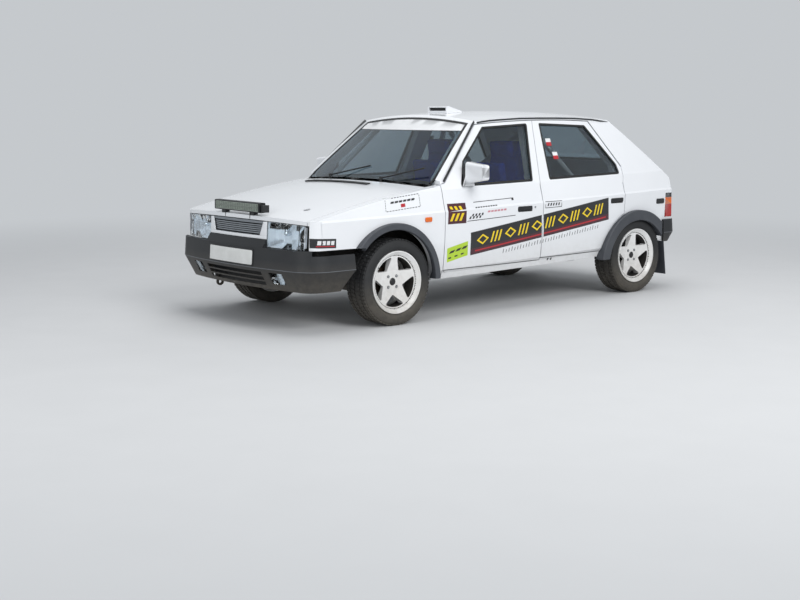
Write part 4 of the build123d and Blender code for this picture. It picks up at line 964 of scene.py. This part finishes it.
    def _wing_stickers(self, side: str, view: View) -> None:
        """Black sticker behind the head lamp and the large pale one on top of the wing."""
        bars = row_of(self.wing, 4, 0.2, 0.19, 0.14, 0.34, 0.78, 0.02)
        border = [cell_of(self.pale, 0.04 + i * 0.079, 0.09 + i * 0.079, t, t + 0.05)
                  for i in range(12) for t in (0.03, 0.92)]
        border += [cell_of(self.pale, a, a + 0.012, 0.08 + i * 0.17, 0.2 + i * 0.17)
                   for i in range(5) for a in (0.02, 0.965)]
        border += row_of(self.pale, 6, 0.16, 0.115, 0.09, 0.56, 0.7, 0.02)
        for name, shapes, finish, lift, pitch in (
            ("wing_sticker", [self.wing], VINYL_BLACK, 0.8, 8.0),
            ("wing_bars", bars, VINYL_WHITE, 1.1, 8.0),
            ("wing_line", [cell_of(self.wing, 0.16, 0.94, 0.14, 0.24)], VINYL_RED, 1.1, 8.0),
            ("wing_frame", border, VINYL_BLACK, 0.3, 30.0),
            ("wing_dot", [cell_of(self.pale, 0.44, 0.56, 0.2, 0.44)], VINYL_RED, 0.3, 30.0),
        ):
            self._put(name, shapes, side, view, "front_fenders", finish, lift, pitch)

    def _framed_sticker(self, side: str, view: View) -> None:
        """Framed sticker high on the rear door."""
        lines = [cell_of(self.framed, 0, 1, 0, 0.09), cell_of(self.framed, 0, 1, 0.91, 1),
                 cell_of(self.framed, 0, 0.025, 0, 1), cell_of(self.framed, 0.975, 1, 0, 1)]
        lines += row_of(self.framed, 5, 0.12, 0.16, 0.08, 0.3, 0.72, 0.04)
        self._put("framed_sticker", lines, side, view, "door_rear", VINYL_BLACK)

    def _jack_marks(self, side: str, view: View) -> None:
        """Black marks on the sill where the jack goes."""
        for i, (x, z) in enumerate(self.jacks):
            mark = oblong(x - 27, x + 27, z - 11, z + 11)
            bars = [cell_of(mark, 0.05, 0.3, 0.1, 0.9), cell_of(mark, 0.42, 0.58, 0.4, 0.6),
                    cell_of(mark, 0.7, 0.95, 0.1, 0.9)]
            self._put(f"jack_mark_{i}", bars, side, view, "body_sides", VINYL_BLACK)


@dataclass
class Windows:
    """Rubber seals round the glass, the white band on the windscreen, and marks on the rear panes."""

    seal: float = 15.0
    screen_seal: float = 20.0
    band_foot_z: float = 1266.0
    mark: float = 52.0
    marks: tuple[Point, ...] = ((-482.0, 1150.0), (-520.0, 1052.0))

    def build(self) -> None:
        """Builds the seals, the band and the marks."""
        for side, sign, view in SIDES:
            for end in ("front", "rear"):
                self._seal(f"glass_{end}_{side}", f"seal_{end}_{side}", (0, sign, 0.35), self.seal, 9.0,
                           f"door_{end}_{side}")
            for name, foot, finish in (("white", self.mark / 2, VINYL_WHITE), ("red", 0.0, VINYL_RED)):
                shapes = [oblong(x, x + self.mark, z + foot, z + foot + self.mark / 2) for x, z in self.marks]
                overlay(f"pane_mark_{name}_{side}", shapes, view, f"glass_rear_{side}", f"door_rear_{side}", finish,
                        depth=0.2)
        self._seal("windscreen", "screen_seal", (1, 0, 1.2), self.screen_seal, 2.6, "shell", round_edge=0.0,
                   least=0.85)
        band = skin_copy("windscreen", "sun_band", (1, 0, 1.2), 0.85)
        frame_of(band, self.screen_seal, keep_ring=False)
        keep_where(band, ((0, 0, self.band_foot_z), (0, 0, -1)))
        thicken(band, 0.4)
        finish_piece(band, "shell", VINYL_WHITE)
        self._seal("hatch_glass", "hatch_seal", (-1, 0, 1), self.screen_seal, 6.5, "hatch")

    def _seal(self, node: str, name: str, toward: Sequence[float], width: float, wall: float, body: str,
              round_edge: float = 1.2, least: float = 0.8) -> None:
        """Rubber seal, cut from the edge of the glass's own skin.

        Args:
            node: CAD node of the glass.
            name: name of the piece.
            toward: direction that the skin looks in.
            width: width of the seal in millimetres.
            wall: its thickness in millimetres.
            body: CAD body that carries it.
            round_edge: width of the edge rounding in millimetres.
            least: least cosine between a face's normal and the direction.
        """
        ring = skin_copy(node, name, toward, least)
        frame_of(ring, width)
        thicken(ring, wall, round_edge)
        finish_piece(ring, body, SEAL_RUBBER)


@dataclass
class BodyTrim:
    """Drip mouldings, door handles and locks, side markers and the cap behind the left rear door."""

    pillar: tuple[Point, ...] = ((668.0, 931.0), (256.0, 1329.0))
    pillar_y: float = 600.0
    pillar_lean: float = 0.3406
    pillar_width: float = 20.0
    gutter: tuple[Point, ...] = (
        (226.0, 1320.0), (180.0, 1326.0), (100.0, 1334.0), (0.0, 1339.0), (-200.0, 1347.5), (-400.0, 1349.0),
        (-600.0, 1348.0), (-800.0, 1344.5), (-1000.0, 1334.0), (-1100.0, 1323.0), (-1180.0, 1313.0),
    )
    gutter_width: float = 11.0
    handle: float = 138.0
    handles: tuple[tuple[str, float, float], ...] = (("front", -62.0, 714.0), ("rear", -1083.0, 726.0))
    marker: Point = (849.0, 687.0)
    lock: Point = (-163.0, 722.0)
    cap: Point = (-1637.0, 696.0)

    def build(self) -> None:
        """Builds the trim on both sides."""
        for side, sign, view in SIDES:
            self._drip(side, view)
            for end, x, z in self.handles:
                self._handle(end, side, sign, view, x, z)
            door = f"door_front_{side}"
            overlay(f"side_marker_{side}", [rounded(*self.marker, 58, 32, 8)], view, "front_fenders", "shell",
                    AMBER_LENS, lift=-0.5, depth=9, pitch=20, round_edge=3)
            overlay(f"door_lock_{side}", [rounded(*self.lock, 15, 15, 7)], view, door, door, ZINC, depth=2.0)
        overlay("filler_cap", [rounded(*self.cap, 104, 40, 12)], View.LEFT, "body_sides", "shell", BLACK_PLASTIC,
                lift=-0.5, depth=5, pitch=25, round_edge=1.5)

    def _drip(self, side: str, view: View) -> None:
        """Dark moulding up the windscreen pillar and back along the roof's edge."""
        quads = []
        for path, width in ((self.pillar, self.pillar_width), (self.gutter, self.gutter_width)):
            for (x0, z0), (x1, z1) in zip(path, path[1:]):
                run = Vector((x1 - x0, z1 - z0)).normalized()
                a, b = -run.y * width / 2, run.x * width / 2
                quads.append([(x0 + a, z0 + b), (x0 - a, z0 - b), (x1 - a, z1 - b), (x1 + a, z1 + b)])
        overlay(f"gutter_moulding_{side}", quads[1:], view, "roof_panel", "shell", TRIM_STRIP, lift=0.2, depth=4,
                pitch=20)
        strip = cut_sheet(f"pillar_moulding_{side}", quads[0], view, 20)
        for vertex in strip.data.vertices:
            half = self.pillar_y + (vertex.co.x * 1000 - self.pillar[1][0]) * self.pillar_lean
            vertex.co.y = math.copysign(half * MM, vertex.co.y)
        thicken(strip, 4.0, 1.0)
        finish_piece(strip, "shell", TRIM_STRIP)

    def _handle(self, end: str, side: str, sign: int, view: View, x: float, z: float) -> None:
        """Black flap handle in its recess.

        Args:
            end: front or rear door.
            side: left or right.
            sign: 1 on the left.
            view: side that it is seen from.
            x: middle of the recess.
            z: middle of the recess.
        """
        door = f"door_{end}_{side}"
        skin = surface_at(door, view, x + 95, z).y * 1000 * sign
        overlay(f"handle_liner_{end}_{side}", [oblong(x - 74.5, x + 74.5, z - 19.5, z + 19.5)], view, door, door,
                BLACK_PLASTIC, depth=1.0)
        near, far = sorted((sign * (skin - 8.0), sign * (skin + 2.5)))
        made = moulded_block(f"handle_{end}_{side}", (x - self.handle / 2, near, z - 8.0),
                             (x + self.handle / 2, far, z + 19.0), 3.5)
        finish_piece(made, door, BLACK_PLASTIC)


@dataclass
class FrontLamps:
    """Head and fog lamps: fluted lenses over silvered bowls, with the turn lamps' edge line."""

    split_z: float = 450.0
    lens_wall: float = 3.0
    bulb: tuple[float, float, float] = (1.772, 0.478, 0.628)
    turn_edge: float = 628.0

    def build(self) -> None:
        """Builds the left lamps and mirrors them to the right."""
        for name, planes, inset, depth in (
            ("head_lamp", (((0, 0, 0), (0, -1, 0)), ((0, 0, self.split_z), (0, 0, -1))), 7.0, 58.0),
            ("fog_lamp", (((0, 0, 0), (0, -1, 0)), ((0, 0, self.split_z), (0, 0, 1))), 5.0, 16.0),
        ):
            lens = skin_copy("front_lamps", f"{name}_lens_left", (1, 0.15, 0), 0.35)
            keep_where(lens, *planes)
            bowl = copy_of(lens, f"{name}_bowl_left", Matrix.Translation((-0.007, 0, 0)))
            self._sink(bowl, inset, depth)
            thicken(lens, -self.lens_wall)
            for part, finish, slot in ((lens, CLEAR_LENS, "clear_lens"), (bowl, LAMP_BOWL, "")):
                twin = copy_of(part, part.name.replace("left", "right"), Matrix.Diagonal((1, -1, 1, 1)))
                for piece in (part, twin):
                    finish_piece(piece, "shell", finish)
                    if finish is CLEAR_LENS:
                        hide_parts("front_lamps")
        for side, sign, _ in SIDES:
            shade = turned(f"bulb_shade_{side}", ((0, 22), (9, 21), (15, 16), (17, 6), (17, -16), (0, -16)), 24)
            x, y, z = self.bulb
            shade.data.transform(Matrix.Translation((x, sign * y, z)) @ Matrix.Rotation(math.radians(-90), 4, "Z"))
            finish_piece(shade, "shell", REFLECTOR)
            edge = sign * self.turn_edge
            overlay(f"turn_lamp_edge_{side}", [oblong(edge - 2.5, edge + 2.5, 540, 706)], View.FRONT, "front_lamps",
                    "shell", BLACK_PLASTIC, depth=1.0)

    def _sink(self, bowl: bpy.types.Object, inset: float, depth: float) -> None:
        """Sinks a skin into a bowl behind its rim.

        Args:
            bowl: skin of the lamp.
            inset: width of the rim in millimetres.
            depth: depth of the bowl in millimetres.
        """
        with editing(bowl, "FACE"):
            bpy.ops.mesh.inset(thickness=inset * MM, use_even_offset=True)
            middle = sum((Vector(c) for c in bowl.bound_box), Vector()) / 8
            for share, scale in ((0.55, 0.94), (0.3, 0.82), (0.15, 0.7)):
                bpy.ops.mesh.extrude_region_move(TRANSFORM_OT_translate={"value": (-depth * share * MM, 0, 0)})
                bpy.ops.transform.resize(value=(1, scale, scale), center_override=middle)


@dataclass
class Nose:
    """Number plate, grille surround, the dark air-dam backing that is painted shade, and the seam lines of the bumpers.
    """

    plate: Point = (520.0, 114.0)
    plate_z: float = 462.0
    seam: float = 5.0
    face_x: float = 1.8525
    face_z: float = 0.560
    face_lean: float = 0.07
    face_crown: float = 7.2

    def build(self) -> None:
        """Builds the pieces of the nose."""
        wide, tall = self.plate
        holder = oblong(1 - wide / 2, wide / 2 - 1, self.plate_z - tall / 2 + 1, self.plate_z + tall / 2 - 1)
        overlay("plate_holder", [holder], View.FRONT, "front_bumper", "shell", BLACK_PLASTIC, lift=-0.5, depth=4,
                round_edge=1)
        overlay("blank_plate", [rounded(0, self.plate_z, wide - 18, tall - 20, 8)], View.FRONT, "front_bumper",
                "shell", PLATE_ENAMEL, lift=4, depth=1, round_edge=0.4)
        for name, outline in (
            ("grille_foot", oblong(-331, 331, 584, 604)),
            ("grille_cheek_left", [(262, 604), (331, 604), (331, 696), (296, 696)]),
            ("grille_cheek_right", [(-262, 604), (-331, 604), (-331, 696), (-296, 696)]),
        ):
            made = cut_sheet(name, outline, View.FRONT, 30)
            self._onto_face(made)
            thicken(made, 5.0, 1.2)
            finish_piece(made, "shell", WHITE_PAINT)
        # Dark sheet behind the air dam's openings: painted shade
        finish_piece(moulded_block("air_dam_backing", (1746, -430, 256), (1751, 430, 410), 1.5), "shell", SHADE_SHEET)
        self._seams()

    def _onto_face(self, obj: bpy.types.Object) -> None:
        """Sets a sheet on the crowned, leaning plane of the lamps and grille."""
        for vertex in obj.data.vertices:
            y, z = vertex.co.y, vertex.co.z
            vertex.co.x = self.face_x - (z - self.face_z) * self.face_lean - y * y / self.face_crown

    def _seams(self) -> None:
        """Raised lighter line along the seam of each bumper, cut from the bumper's own skin."""
        for node, z, toward in (("front_bumper", 400.0, 1), ("rear_bumper", 446.0, -1)):
            whole = cad_copy(node, f"{node}_seam")
            keep_where(whole, ((0, 0, z + self.seam / 2), (0, 0, 1)), ((0, 0, z - self.seam / 2), (0, 0, -1)))
            self._drop_inner(whole, toward)
            thicken(whole, 0.2)
            finish_piece(whole, "shell", SEAM_PLASTIC)

    def _drop_inner(self, obj: bpy.types.Object, toward: int) -> None:
        """Removes the faces that look into the car or up and down.

        Args:
            obj: band of a bumper.
            toward: 1 for the front bumper.
        """
        inner = []
        for face in obj.data.polygons:
            middle, normal = face.center, face.normal
            # The way out turns from the side to the end as a bumper wraps round
            outward = Vector((max(toward * middle.x - 1.35, 0.02) * toward, middle.y * 0.6, 0))
            if normal.dot(outward.normalized()) < 0.25 or abs(normal.z) > 0.8:
                inner.append(face.index)
        drop(obj, "FACE", inner)


@dataclass
class LightBar:
    """Cells, brackets and cable box of the lamp bar."""

    front_x: float = 1846.0
    columns: int = 18
    rows: int = 2
    low_z: float = 755.0
    high_z: float = 807.0
    half: float = 250.0

    def build(self) -> None:
        """Builds one cell and copies it along both rows."""
        wide = 2 * self.half / self.columns
        tall = (self.high_z - self.low_z) / self.rows
        first = self._cell(wide - 2.0, tall - 2.0)
        cells = []
        for row in range(self.rows):
            for i in range(self.columns):
                place = Vector((self.front_x * MM, (-self.half + (i + 0.5) * wide) * MM,
                                (self.low_z + (row + 0.5) * tall) * MM))
                cells.append(copy_of(first, f"cell_{row}_{i}", Matrix.Translation(place)))
        bpy.data.objects.remove(first)
        finish_piece(join(cells, "bar_cells"), "hood", LAMP_CELL)
        for name, low, high in (
            ("bar_cable_box", (1790, 268, 752), (1838, 300, 800)),
            ("bar_bracket_left", (1806, 142, 706), (1840, 147, 766)),
            ("bar_bracket_right", (1806, -147, 706), (1840, -142, 766)),
        ):
            finish_piece(moulded_block(name, low, high, 1.6), "hood", BLACK_PLASTIC)

    def _cell(self, wide: float, tall: float) -> bpy.types.Object:
        """One lamp cell: a square cup with a raised lens in it.

        Args:
            wide: width in millimetres.
            tall: height in millimetres.

        Returns:
            The cell about the origin, facing forwards.
        """
        cell = moulded_block("cell", (-6, -wide / 2, -tall / 2), (2.5, wide / 2, tall / 2), 1.2, 2)
        select_parts(cell, "FACE", [face.index for face in cell.data.polygons if face.normal.x > 0.99])
        with editing(cell, action=""):
            bpy.ops.mesh.inset(thickness=0.0015)
            for step, scale in ((-0.004, 0.55), (0.003, 0.6)):
                bpy.ops.mesh.extrude_region_move(TRANSFORM_OT_translate={"value": (step, 0, 0)})
                bpy.ops.transform.resize(value=(1, scale, scale), center_override=(0, 0, 0))
        return cell


@dataclass
class Wheels:
    """Tyres with cut tread, wheel nuts, caps and valves."""

    axle_x: Point = (1.12, -1.33)
    half_track: Point = (0.70, 0.6875)
    height: float = 0.288
    pitches: int = 64
    outer: float = 288.0
    groove: float = 7.0
    nut_circle: float = 0.05
    carcass: tuple[Point, ...] = (
        (190.9, 77.0), (197.0, 80.5), (209.0, 82.2), (216.0, 89.0), (231.0, 97.0), (244.0, 97.0), (258.0, 94.5),
        (268.0, 92.0), (277.0, 86.0), (281.0, 76.0), (281.0, 30.0), (281.0, 0.0), (281.0, -30.0), (281.0, -76.0),
        (277.0, -86.0), (268.0, -92.0), (258.0, -94.5), (244.0, -97.0), (231.0, -97.0), (216.0, -89.0),
        (209.0, -82.2), (197.0, -80.5), (190.9, -77.0), (191.2, -60.0), (232.0, -86.0), (272.0, -64.0), (272.0, 64.0),
        (232.0, 86.0), (191.2, 60.0),
    )
    blocks: tuple[tuple[float, float, float], ...] = (
        # middle across the tread, width, turn in degrees
        (70.0, 30.0, 4.0), (26.5, 36.0, 22.0), (-26.5, 36.0, 22.0), (-70.0, 30.0, 4.0),
    )

    def build(self) -> None:
        """Builds one wheel's pieces and copies them to the four corners."""
        master = {
            "tread": (self._tyre(), TYRE_RUBBER, "tyre_rubber"),
            "nuts": (self._nuts(), ZINC, ""),
            "cap": (turned("cap", ((0, 49), (16, 48.5), (23, 45), (27, 40), (27, 32), (0, 32)), 32),
                    BLACK_PLASTIC, "black_plastic"),
            "valve": (self._valve(), BLACK_PLASTIC, "black_plastic"),
        }
        for end, x, half in zip(("front", "rear"), self.axle_x, self.half_track):
            for side, sign, _ in SIDES:
                place = Matrix.Translation((x, sign * half, self.height)) @ Matrix.Diagonal((1, sign, 1, 1))
                for name, (first, finish, slot) in master.items():
                    made = copy_of(first, f"{name}_{end}_{side}", place)
                    finish_piece(made, f"wheel_{end}_{side}", finish)
                    if name == "tread":
                        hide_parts(f"tyre_{end}_{side}")
        for first, _, _ in master.values():
            bpy.data.objects.remove(first)

    def _tyre(self) -> bpy.types.Object:
        """Carcass with its tread blocks."""
        parts = [turned("carcass", self.carcass, 96, closed=True)]
        long = math.tau * self.outer / self.pitches
        for middle, wide, lean in self.blocks:
            first = moulded_block("tread_block", (-long * 0.41, -wide / 2, -self.groove - 2.0),
                                  (long * 0.41, wide / 2, -0.6), 1.3, 1)
            first.data.transform(Matrix.Rotation(math.radians(math.copysign(lean, middle)), 4, "Z"))
            first.data.transform(Matrix.Translation((0, middle * MM, self.outer * MM)))
            shift = 0.5 if middle < 0 else 0.0
            for i in range(self.pitches):
                turn = Matrix.Rotation(math.tau * (i + shift) / self.pitches, 4, "Y")
                parts.append(copy_of(first, "tread_block", turn))
            bpy.data.objects.remove(first)
        return join(parts, "tyre")

    def _nuts(self) -> bpy.types.Object:
        """Four wheel nuts on their circle."""
        parts = []
        for i in range(4):
            turn = math.radians(45 + 90 * i)
            deselect_all()
            bpy.ops.mesh.primitive_cylinder_add(vertices=6, radius=0.0095, depth=0.018,
                                                rotation=(math.radians(90), 0, 0))
            nut = bpy.context.object
            bpy.ops.object.transform_apply(location=True, rotation=True, scale=True)
            with editing(nut):
                bpy.ops.mesh.bevel(offset=0.0012, segments=2, affect="EDGES")
            nut.data.transform(Matrix.Translation((self.nut_circle * math.cos(turn), 0.037,
                                                   self.nut_circle * math.sin(turn))))
            parts.append(nut)
        return join(parts, "nuts")

    def _valve(self) -> bpy.types.Object:
        """Valve stem in the rim's well."""
        stem = turned("valve", ((0, 30), (3, 30), (3.6, 28), (3.6, 12), (5.5, 8), (5.5, 0), (0, 0)), 16)
        stem.data.transform(Matrix.Translation((0.150, 0.062, 0.105)))
        return stem


@dataclass
class Mirrors:
    """White housings on dark feet, with their mirror glass."""

    foot_y: float = 764.0

    def build(self) -> None:
        """Builds both mirrors."""
        for side, sign, _ in SIDES:
            node, body = f"mirror_{side}", f"door_front_{side}"
            for name, normal, finish, slot in (
                ("mirror_housing", -sign, WHITE_PAINT, "white_paint"),
                ("mirror_foot", sign, BLACK_PLASTIC, "black_plastic"),
            ):
                part = cad_copy(node, f"{name}_{side}")
                keep_where(part, ((0, sign * self.foot_y, 0), (0, normal, 0)), fill=True)
                finish_piece(part, body, finish)
                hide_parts(node)
            glass = skin_copy(node, f"mirror_glass_{side}", (-1, 0, 0), 0.8)
            keep_where(glass, ((0, sign * 780, 0), (0, -sign, 0)), ((0, sign * 918, 0), (0, sign, 0)),
                       ((0, 0, 916), (0, 0, -1)), ((0, 0, 1000), (0, 0, 1)))
            thicken(glass, 1.0)
            finish_piece(glass, body, REFLECTOR)


@dataclass
class RearEnd:
    """Tail lamps in their colours, rear number plate and hatch lock."""

    plate_z: float = 622.0
    lock_z: float = 724.0

    def build(self) -> None:
        """Builds the pieces of the tail."""
        for name, low, high, finish in (
            ("smoke", 722.0, 770.0, SMOKE_LENS), ("amber", 668.0, 722.0, AMBER_LENS), ("red", 550.0, 668.0, RED_LENS),
        ):
            part = cad_copy("tail_lamps", f"tail_lamp_{name}")
            keep_where(part, ((0, 0, high), (0, 0, 1)), ((0, 0, low), (0, 0, -1)), fill=True)
            finish_piece(part, "shell", finish)
            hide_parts("tail_lamps")
        for name, outline, finish, sizes in (
            ("rear_plate_holder", rounded(0, self.plate_z, 520, 112, 6), BLACK_PLASTIC,
             {"lift": -0.5, "depth": 4, "pitch": 30, "round_edge": 1}),
            ("rear_blank_plate", rounded(0, self.plate_z, 502, 94, 8), PLATE_ENAMEL,
             {"lift": 4, "depth": 1, "pitch": 30, "round_edge": 0.4}),
            ("hatch_lock", rounded(0, self.lock_z, 34, 34, 16), ZINC,
             {"lift": -0.5, "depth": 8, "pitch": 12, "round_edge": 2}),
        ):
            overlay(name, [outline], View.REAR, "hatch", "hatch", finish, **sizes)


@dataclass
class RoofAndLid:
    """Edging of the lid's slot, a dark lining of painted shade in the roof scoop, and plates under the lid pins."""

    pin: Point = (1610.0, 465.0)
    slot: tuple[float, float, float, float] = (928.0, 962.0, -437.0, 277.0)
    scoop_x: float = 46.5

    def build(self) -> None:
        """Builds the small pieces on top of the car."""
        x0, x1, y0, y1 = self.slot
        edging = cut_sheet("slot_edging", oblong(x0, x1, y0, y1), View.TOP, 12)
        for vertex in edging.data.vertices:
            x, y = vertex.co.x * 1000, vertex.co.y * 1000
            level = [surface_at("hood", View.TOP, at, y).z for at in (x0 - 4, x1 + 4)]
            vertex.co.z = level[0] + (level[1] - level[0]) * (x - x0 + 4) / (x1 - x0 + 8) + 0.0006
        thicken(edging, 8.0, 1.2)
        finish_piece(edging, "hood", SEAL_RUBBER)
        # Dark sheet across the scoop's mouth: painted shade
        lining = cut_sheet("scoop_lining", oblong(-92, 92, 1403, 1424), View.FRONT, 30)
        for vertex in lining.data.vertices:
            vertex.co.x = self.scoop_x * MM
        thicken(lining, 1.0)
        finish_piece(lining, "shell", SHADE_SHEET)
        for side, sign, _ in SIDES:
            ring = turned(f"pin_plate_{side}", ((9.0, 0.2), (22.0, 0.2), (23.0, 1.0), (22.0, 2.0), (9.0, 2.0)), 28,
                          closed=True)
            place = surface_at("hood", View.TOP, self.pin[0] + 14, sign * self.pin[1])
            ring.data.transform(Matrix.Translation((self.pin[0] * MM, sign * self.pin[1] * MM, place.z + 0.002))
                                @ Matrix.Rotation(math.radians(12), 4, "Y") @ Matrix.Rotation(math.radians(90), 4, "X"))
            finish_piece(ring, "hood", ZINC)


@dataclass
class Seats:
    """Two bucket seats: cloth-covered shells with blown-up pads."""

    voxel: float = 9.0
    pad_voxel: float = 6.0
    cap: float = 9.0

    def build(self) -> None:
        """Builds one seat's pads by cloth simulation and copies them to the other seat."""
        shell = cad_copy("seats", "seat_covers")
        apply_modifier(shell, "REMESH", mode="VOXEL", voxel_size=self.voxel * MM, adaptivity=0.0)
        apply_modifier(shell, "SMOOTH", factor=0.5, iterations=14)
        finish_piece(shell, "shell", SEAT_CLOTH, 60.0)
        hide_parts("seats")
        for name, low, high, lean, place in (
            ("seat_pad", (-125, -150, -24), (125, 150, 24), -10.5, (20.0, 350.0, 478.0)),
            ("back_pad", (-255, -150, -24), (255, 150, 24), -79.0, (-188.0, 350.0, 780.0)),
            ("head_pad", (-60, -118, -18), (60, 118, 18), -79.0, (-272.0, 350.0, 1120.0)),
        ):
            pad = moulded_block(name, low, high, 14, 3)
            pad.data.transform(Matrix.Translation([v * MM for v in place])
                               @ Matrix.Rotation(math.radians(lean), 4, "Y"))
            self._blow_up(pad)
            twin = copy_of(pad, f"{name}_right", Matrix.Diagonal((1, -1, 1, 1)))
            pad.name = pad.data.name = f"{name}_left"
            for piece in (pad, twin):
                finish_piece(piece, "shell", SEAT_CLOTH, 60.0)

    def _blow_up(self, pad: bpy.types.Object) -> None:
        """Remeshes a pad and swells it as cloth under pressure, with its growth capped."""
        apply_modifier(pad, "REMESH", mode="VOXEL", voxel_size=self.pad_voxel * MM, adaptivity=0.0)
        before = [v.co.copy() for v in pad.data.vertices]
        take_up(pad)
        cloth = pad.modifiers.new("Cloth", "CLOTH")
        cloth.settings.use_pressure = True
        cloth.settings.uniform_pressure_force = 4.0
        cloth.settings.effector_weights.gravity = 0.0
        scene = bpy.context.scene
        for number in range(1, 21):
            scene.frame_set(number)
        graph = bpy.context.evaluated_depsgraph_get()
        after = [v.co.copy() for v in pad.evaluated_get(graph).data.vertices]
        pad.modifiers.remove(cloth)
        scene.frame_set(1)
        for vertex, old, new in zip(pad.data.vertices, before, after):
            step = new - old
            far = step.length
            vertex.co = old + step * min(1.0, self.cap * MM / far) if far > 0 else old
        apply_modifier(pad, "SUBSURF", levels=1, render_levels=1)


@dataclass
class Studio:
    """Floor, backdrop, lamps and the photograph's camera."""

    camera_place: tuple[float, float, float] = (6.616, 7.267, 1.419)
    camera_yaw: float = -130.44
    camera_pitch: float = -8.36
    focal: float = 58.62
    floor_half: float = 60.0
    haze_reach: Point = (3.2, 9.0)
    surround: str = "D4D8DC"
    surround_strength: float = 0.85

    def build(self) -> None:
        """Sets up everything that isn't the car."""
        self._floor()
        self._world()
        self._lamps()
        self._camera()

    def _floor(self) -> None:
        """Pale plain floor that fades into the surround with distance."""
        deselect_all()
        bpy.ops.mesh.primitive_plane_add(size=2 * self.floor_half, location=(0, 0, -0.0005))
        floor = bpy.context.object
        floor.name = "floor"
        made = bpy.data.materials.new("pale_floor")
        made.use_nodes = True
        tree = made.node_tree
        tree.nodes.clear()
        place = add_node(tree, "ShaderNodeTexCoord").outputs["Object"]
        noise = add_node(tree, "ShaderNodeTexNoise", {"Scale": 3.0, "Detail": 4.0}, {"Vector": place}).outputs["Fac"]
        tone = add_node(tree, "ShaderNodeMix", {"data_type": "RGBA", 6: linear("C9CACB"), 7: linear("C4C5C6")},
                        {0: noise}).outputs[2]
        shader = add_node(tree, "ShaderNodeBsdfPrincipled", {"Roughness": 0.8}, {"Base Color": tone})
        far = add_node(tree, "ShaderNodeVectorMath", {"operation": "LENGTH"}, {0: place}).outputs["Value"]
        share = add_node(tree, "ShaderNodeMapRange",
                         {"interpolation_type": "SMOOTHSTEP", "From Min": self.haze_reach[0],
                          "From Max": self.haze_reach[1]}, {"Value": far}).outputs["Result"]
        haze = add_node(tree, "ShaderNodeEmission", {"Color": linear(self.surround),
                                                     "Strength": self.surround_strength})
        mix = add_node(tree, "ShaderNodeMixShader", {}, {0: share, 1: shader.outputs["BSDF"], 2: haze.outputs[0]})
        add_node(tree, "ShaderNodeOutputMaterial", {}, {"Surface": mix.outputs[0]})
        floor.data.materials.append(made)

    def _world(self) -> None:
        """Pale surround, seen by the camera and in reflections, with softer light on the car."""
        world = bpy.data.worlds.new("studio")
        bpy.context.scene.world = world
        world.use_nodes = True
        tree = world.node_tree
        tree.nodes.clear()
        path = add_node(tree, "ShaderNodeLightPath")
        seen = add_node(tree, "ShaderNodeMath", {"operation": "MAXIMUM"},
                        {0: path.outputs["Is Camera Ray"], 1: path.outputs["Is Glossy Ray"]}).outputs[0]
        seen = add_node(tree, "ShaderNodeMath", {"operation": "MAXIMUM"},
                        {0: seen, 1: path.outputs["Is Transmission Ray"]}).outputs[0]
        light = add_node(tree, "ShaderNodeBackground", {"Color": linear("DDE3EA"), "Strength": 0.47})
        shown = add_node(tree, "ShaderNodeBackground", {"Color": linear(self.surround),
                                                        "Strength": self.surround_strength})
        mix = add_node(tree, "ShaderNodeMixShader", {}, {0: seen, 1: light.outputs[0], 2: shown.outputs[0]})
        add_node(tree, "ShaderNodeOutputWorld", {}, {"Surface": mix.outputs[0]})

    def _lamps(self) -> None:
        """Large soft lamps: a key from the right of the camera, one above, a weak fill and one behind."""
        for name, place, edge, watts in (
            ("key", (1.5, 8.5, 6.0), 5.0, 580.0),
            ("top", (-0.5, 0.0, 7.5), 6.0, 270.0),
            ("fill", (8.0, 1.5, 3.2), 4.0, 140.0),
            ("back", (-6.5, -6.5, 5.0), 5.0, 180.0),
        ):
            data = bpy.data.lights.new(name, "AREA")
            data.size = edge
            data.energy = watts
            lamp = bpy.data.objects.new(name, data)
            bpy.context.scene.collection.objects.link(lamp)
            lamp.location = place
            lamp.visible_glossy = name != "back"
            lamp.rotation_euler = (Vector(place) - Vector((0, 0, 0.6))).to_track_quat("Z", "Y").to_euler()

    def _camera(self) -> None:
        """Camera where the photographer stood."""
        data = bpy.data.cameras.new("camera")
        data.lens = self.focal
        data.sensor_width = 36.0
        data.clip_end = 300.0
        camera = bpy.data.objects.new("camera", data)
        bpy.context.scene.collection.objects.link(camera)
        camera.location = self.camera_place
        camera.rotation_euler = (math.radians(90 + self.camera_pitch), 0, math.radians(self.camera_yaw - 90))
        bpy.context.scene.camera = camera
        bpy.context.scene.view_settings.view_transform = "Standard"


def write_sizes() -> None:
    """Defines a helper that turns a box's corners into rows of floats; nothing is written."""
    def rows(box: Sequence) -> list:
        return [[float(v) for v in corner] for corner in box]


def main() -> None:
    """Builds the scene in order."""
    logging.basicConfig(level=logging.INFO, format="%(name)s: %(message)s")
    for part in (Studio(), CadDress(), Livery(), Windows(), BodyTrim(), FrontLamps(), Nose(), LightBar(), Wheels(),
                 Mirrors(), RearEnd(), RoofAndLid(), Seats()):
        part.build()
    write_sizes()


if __name__ == "__main__":
    main()
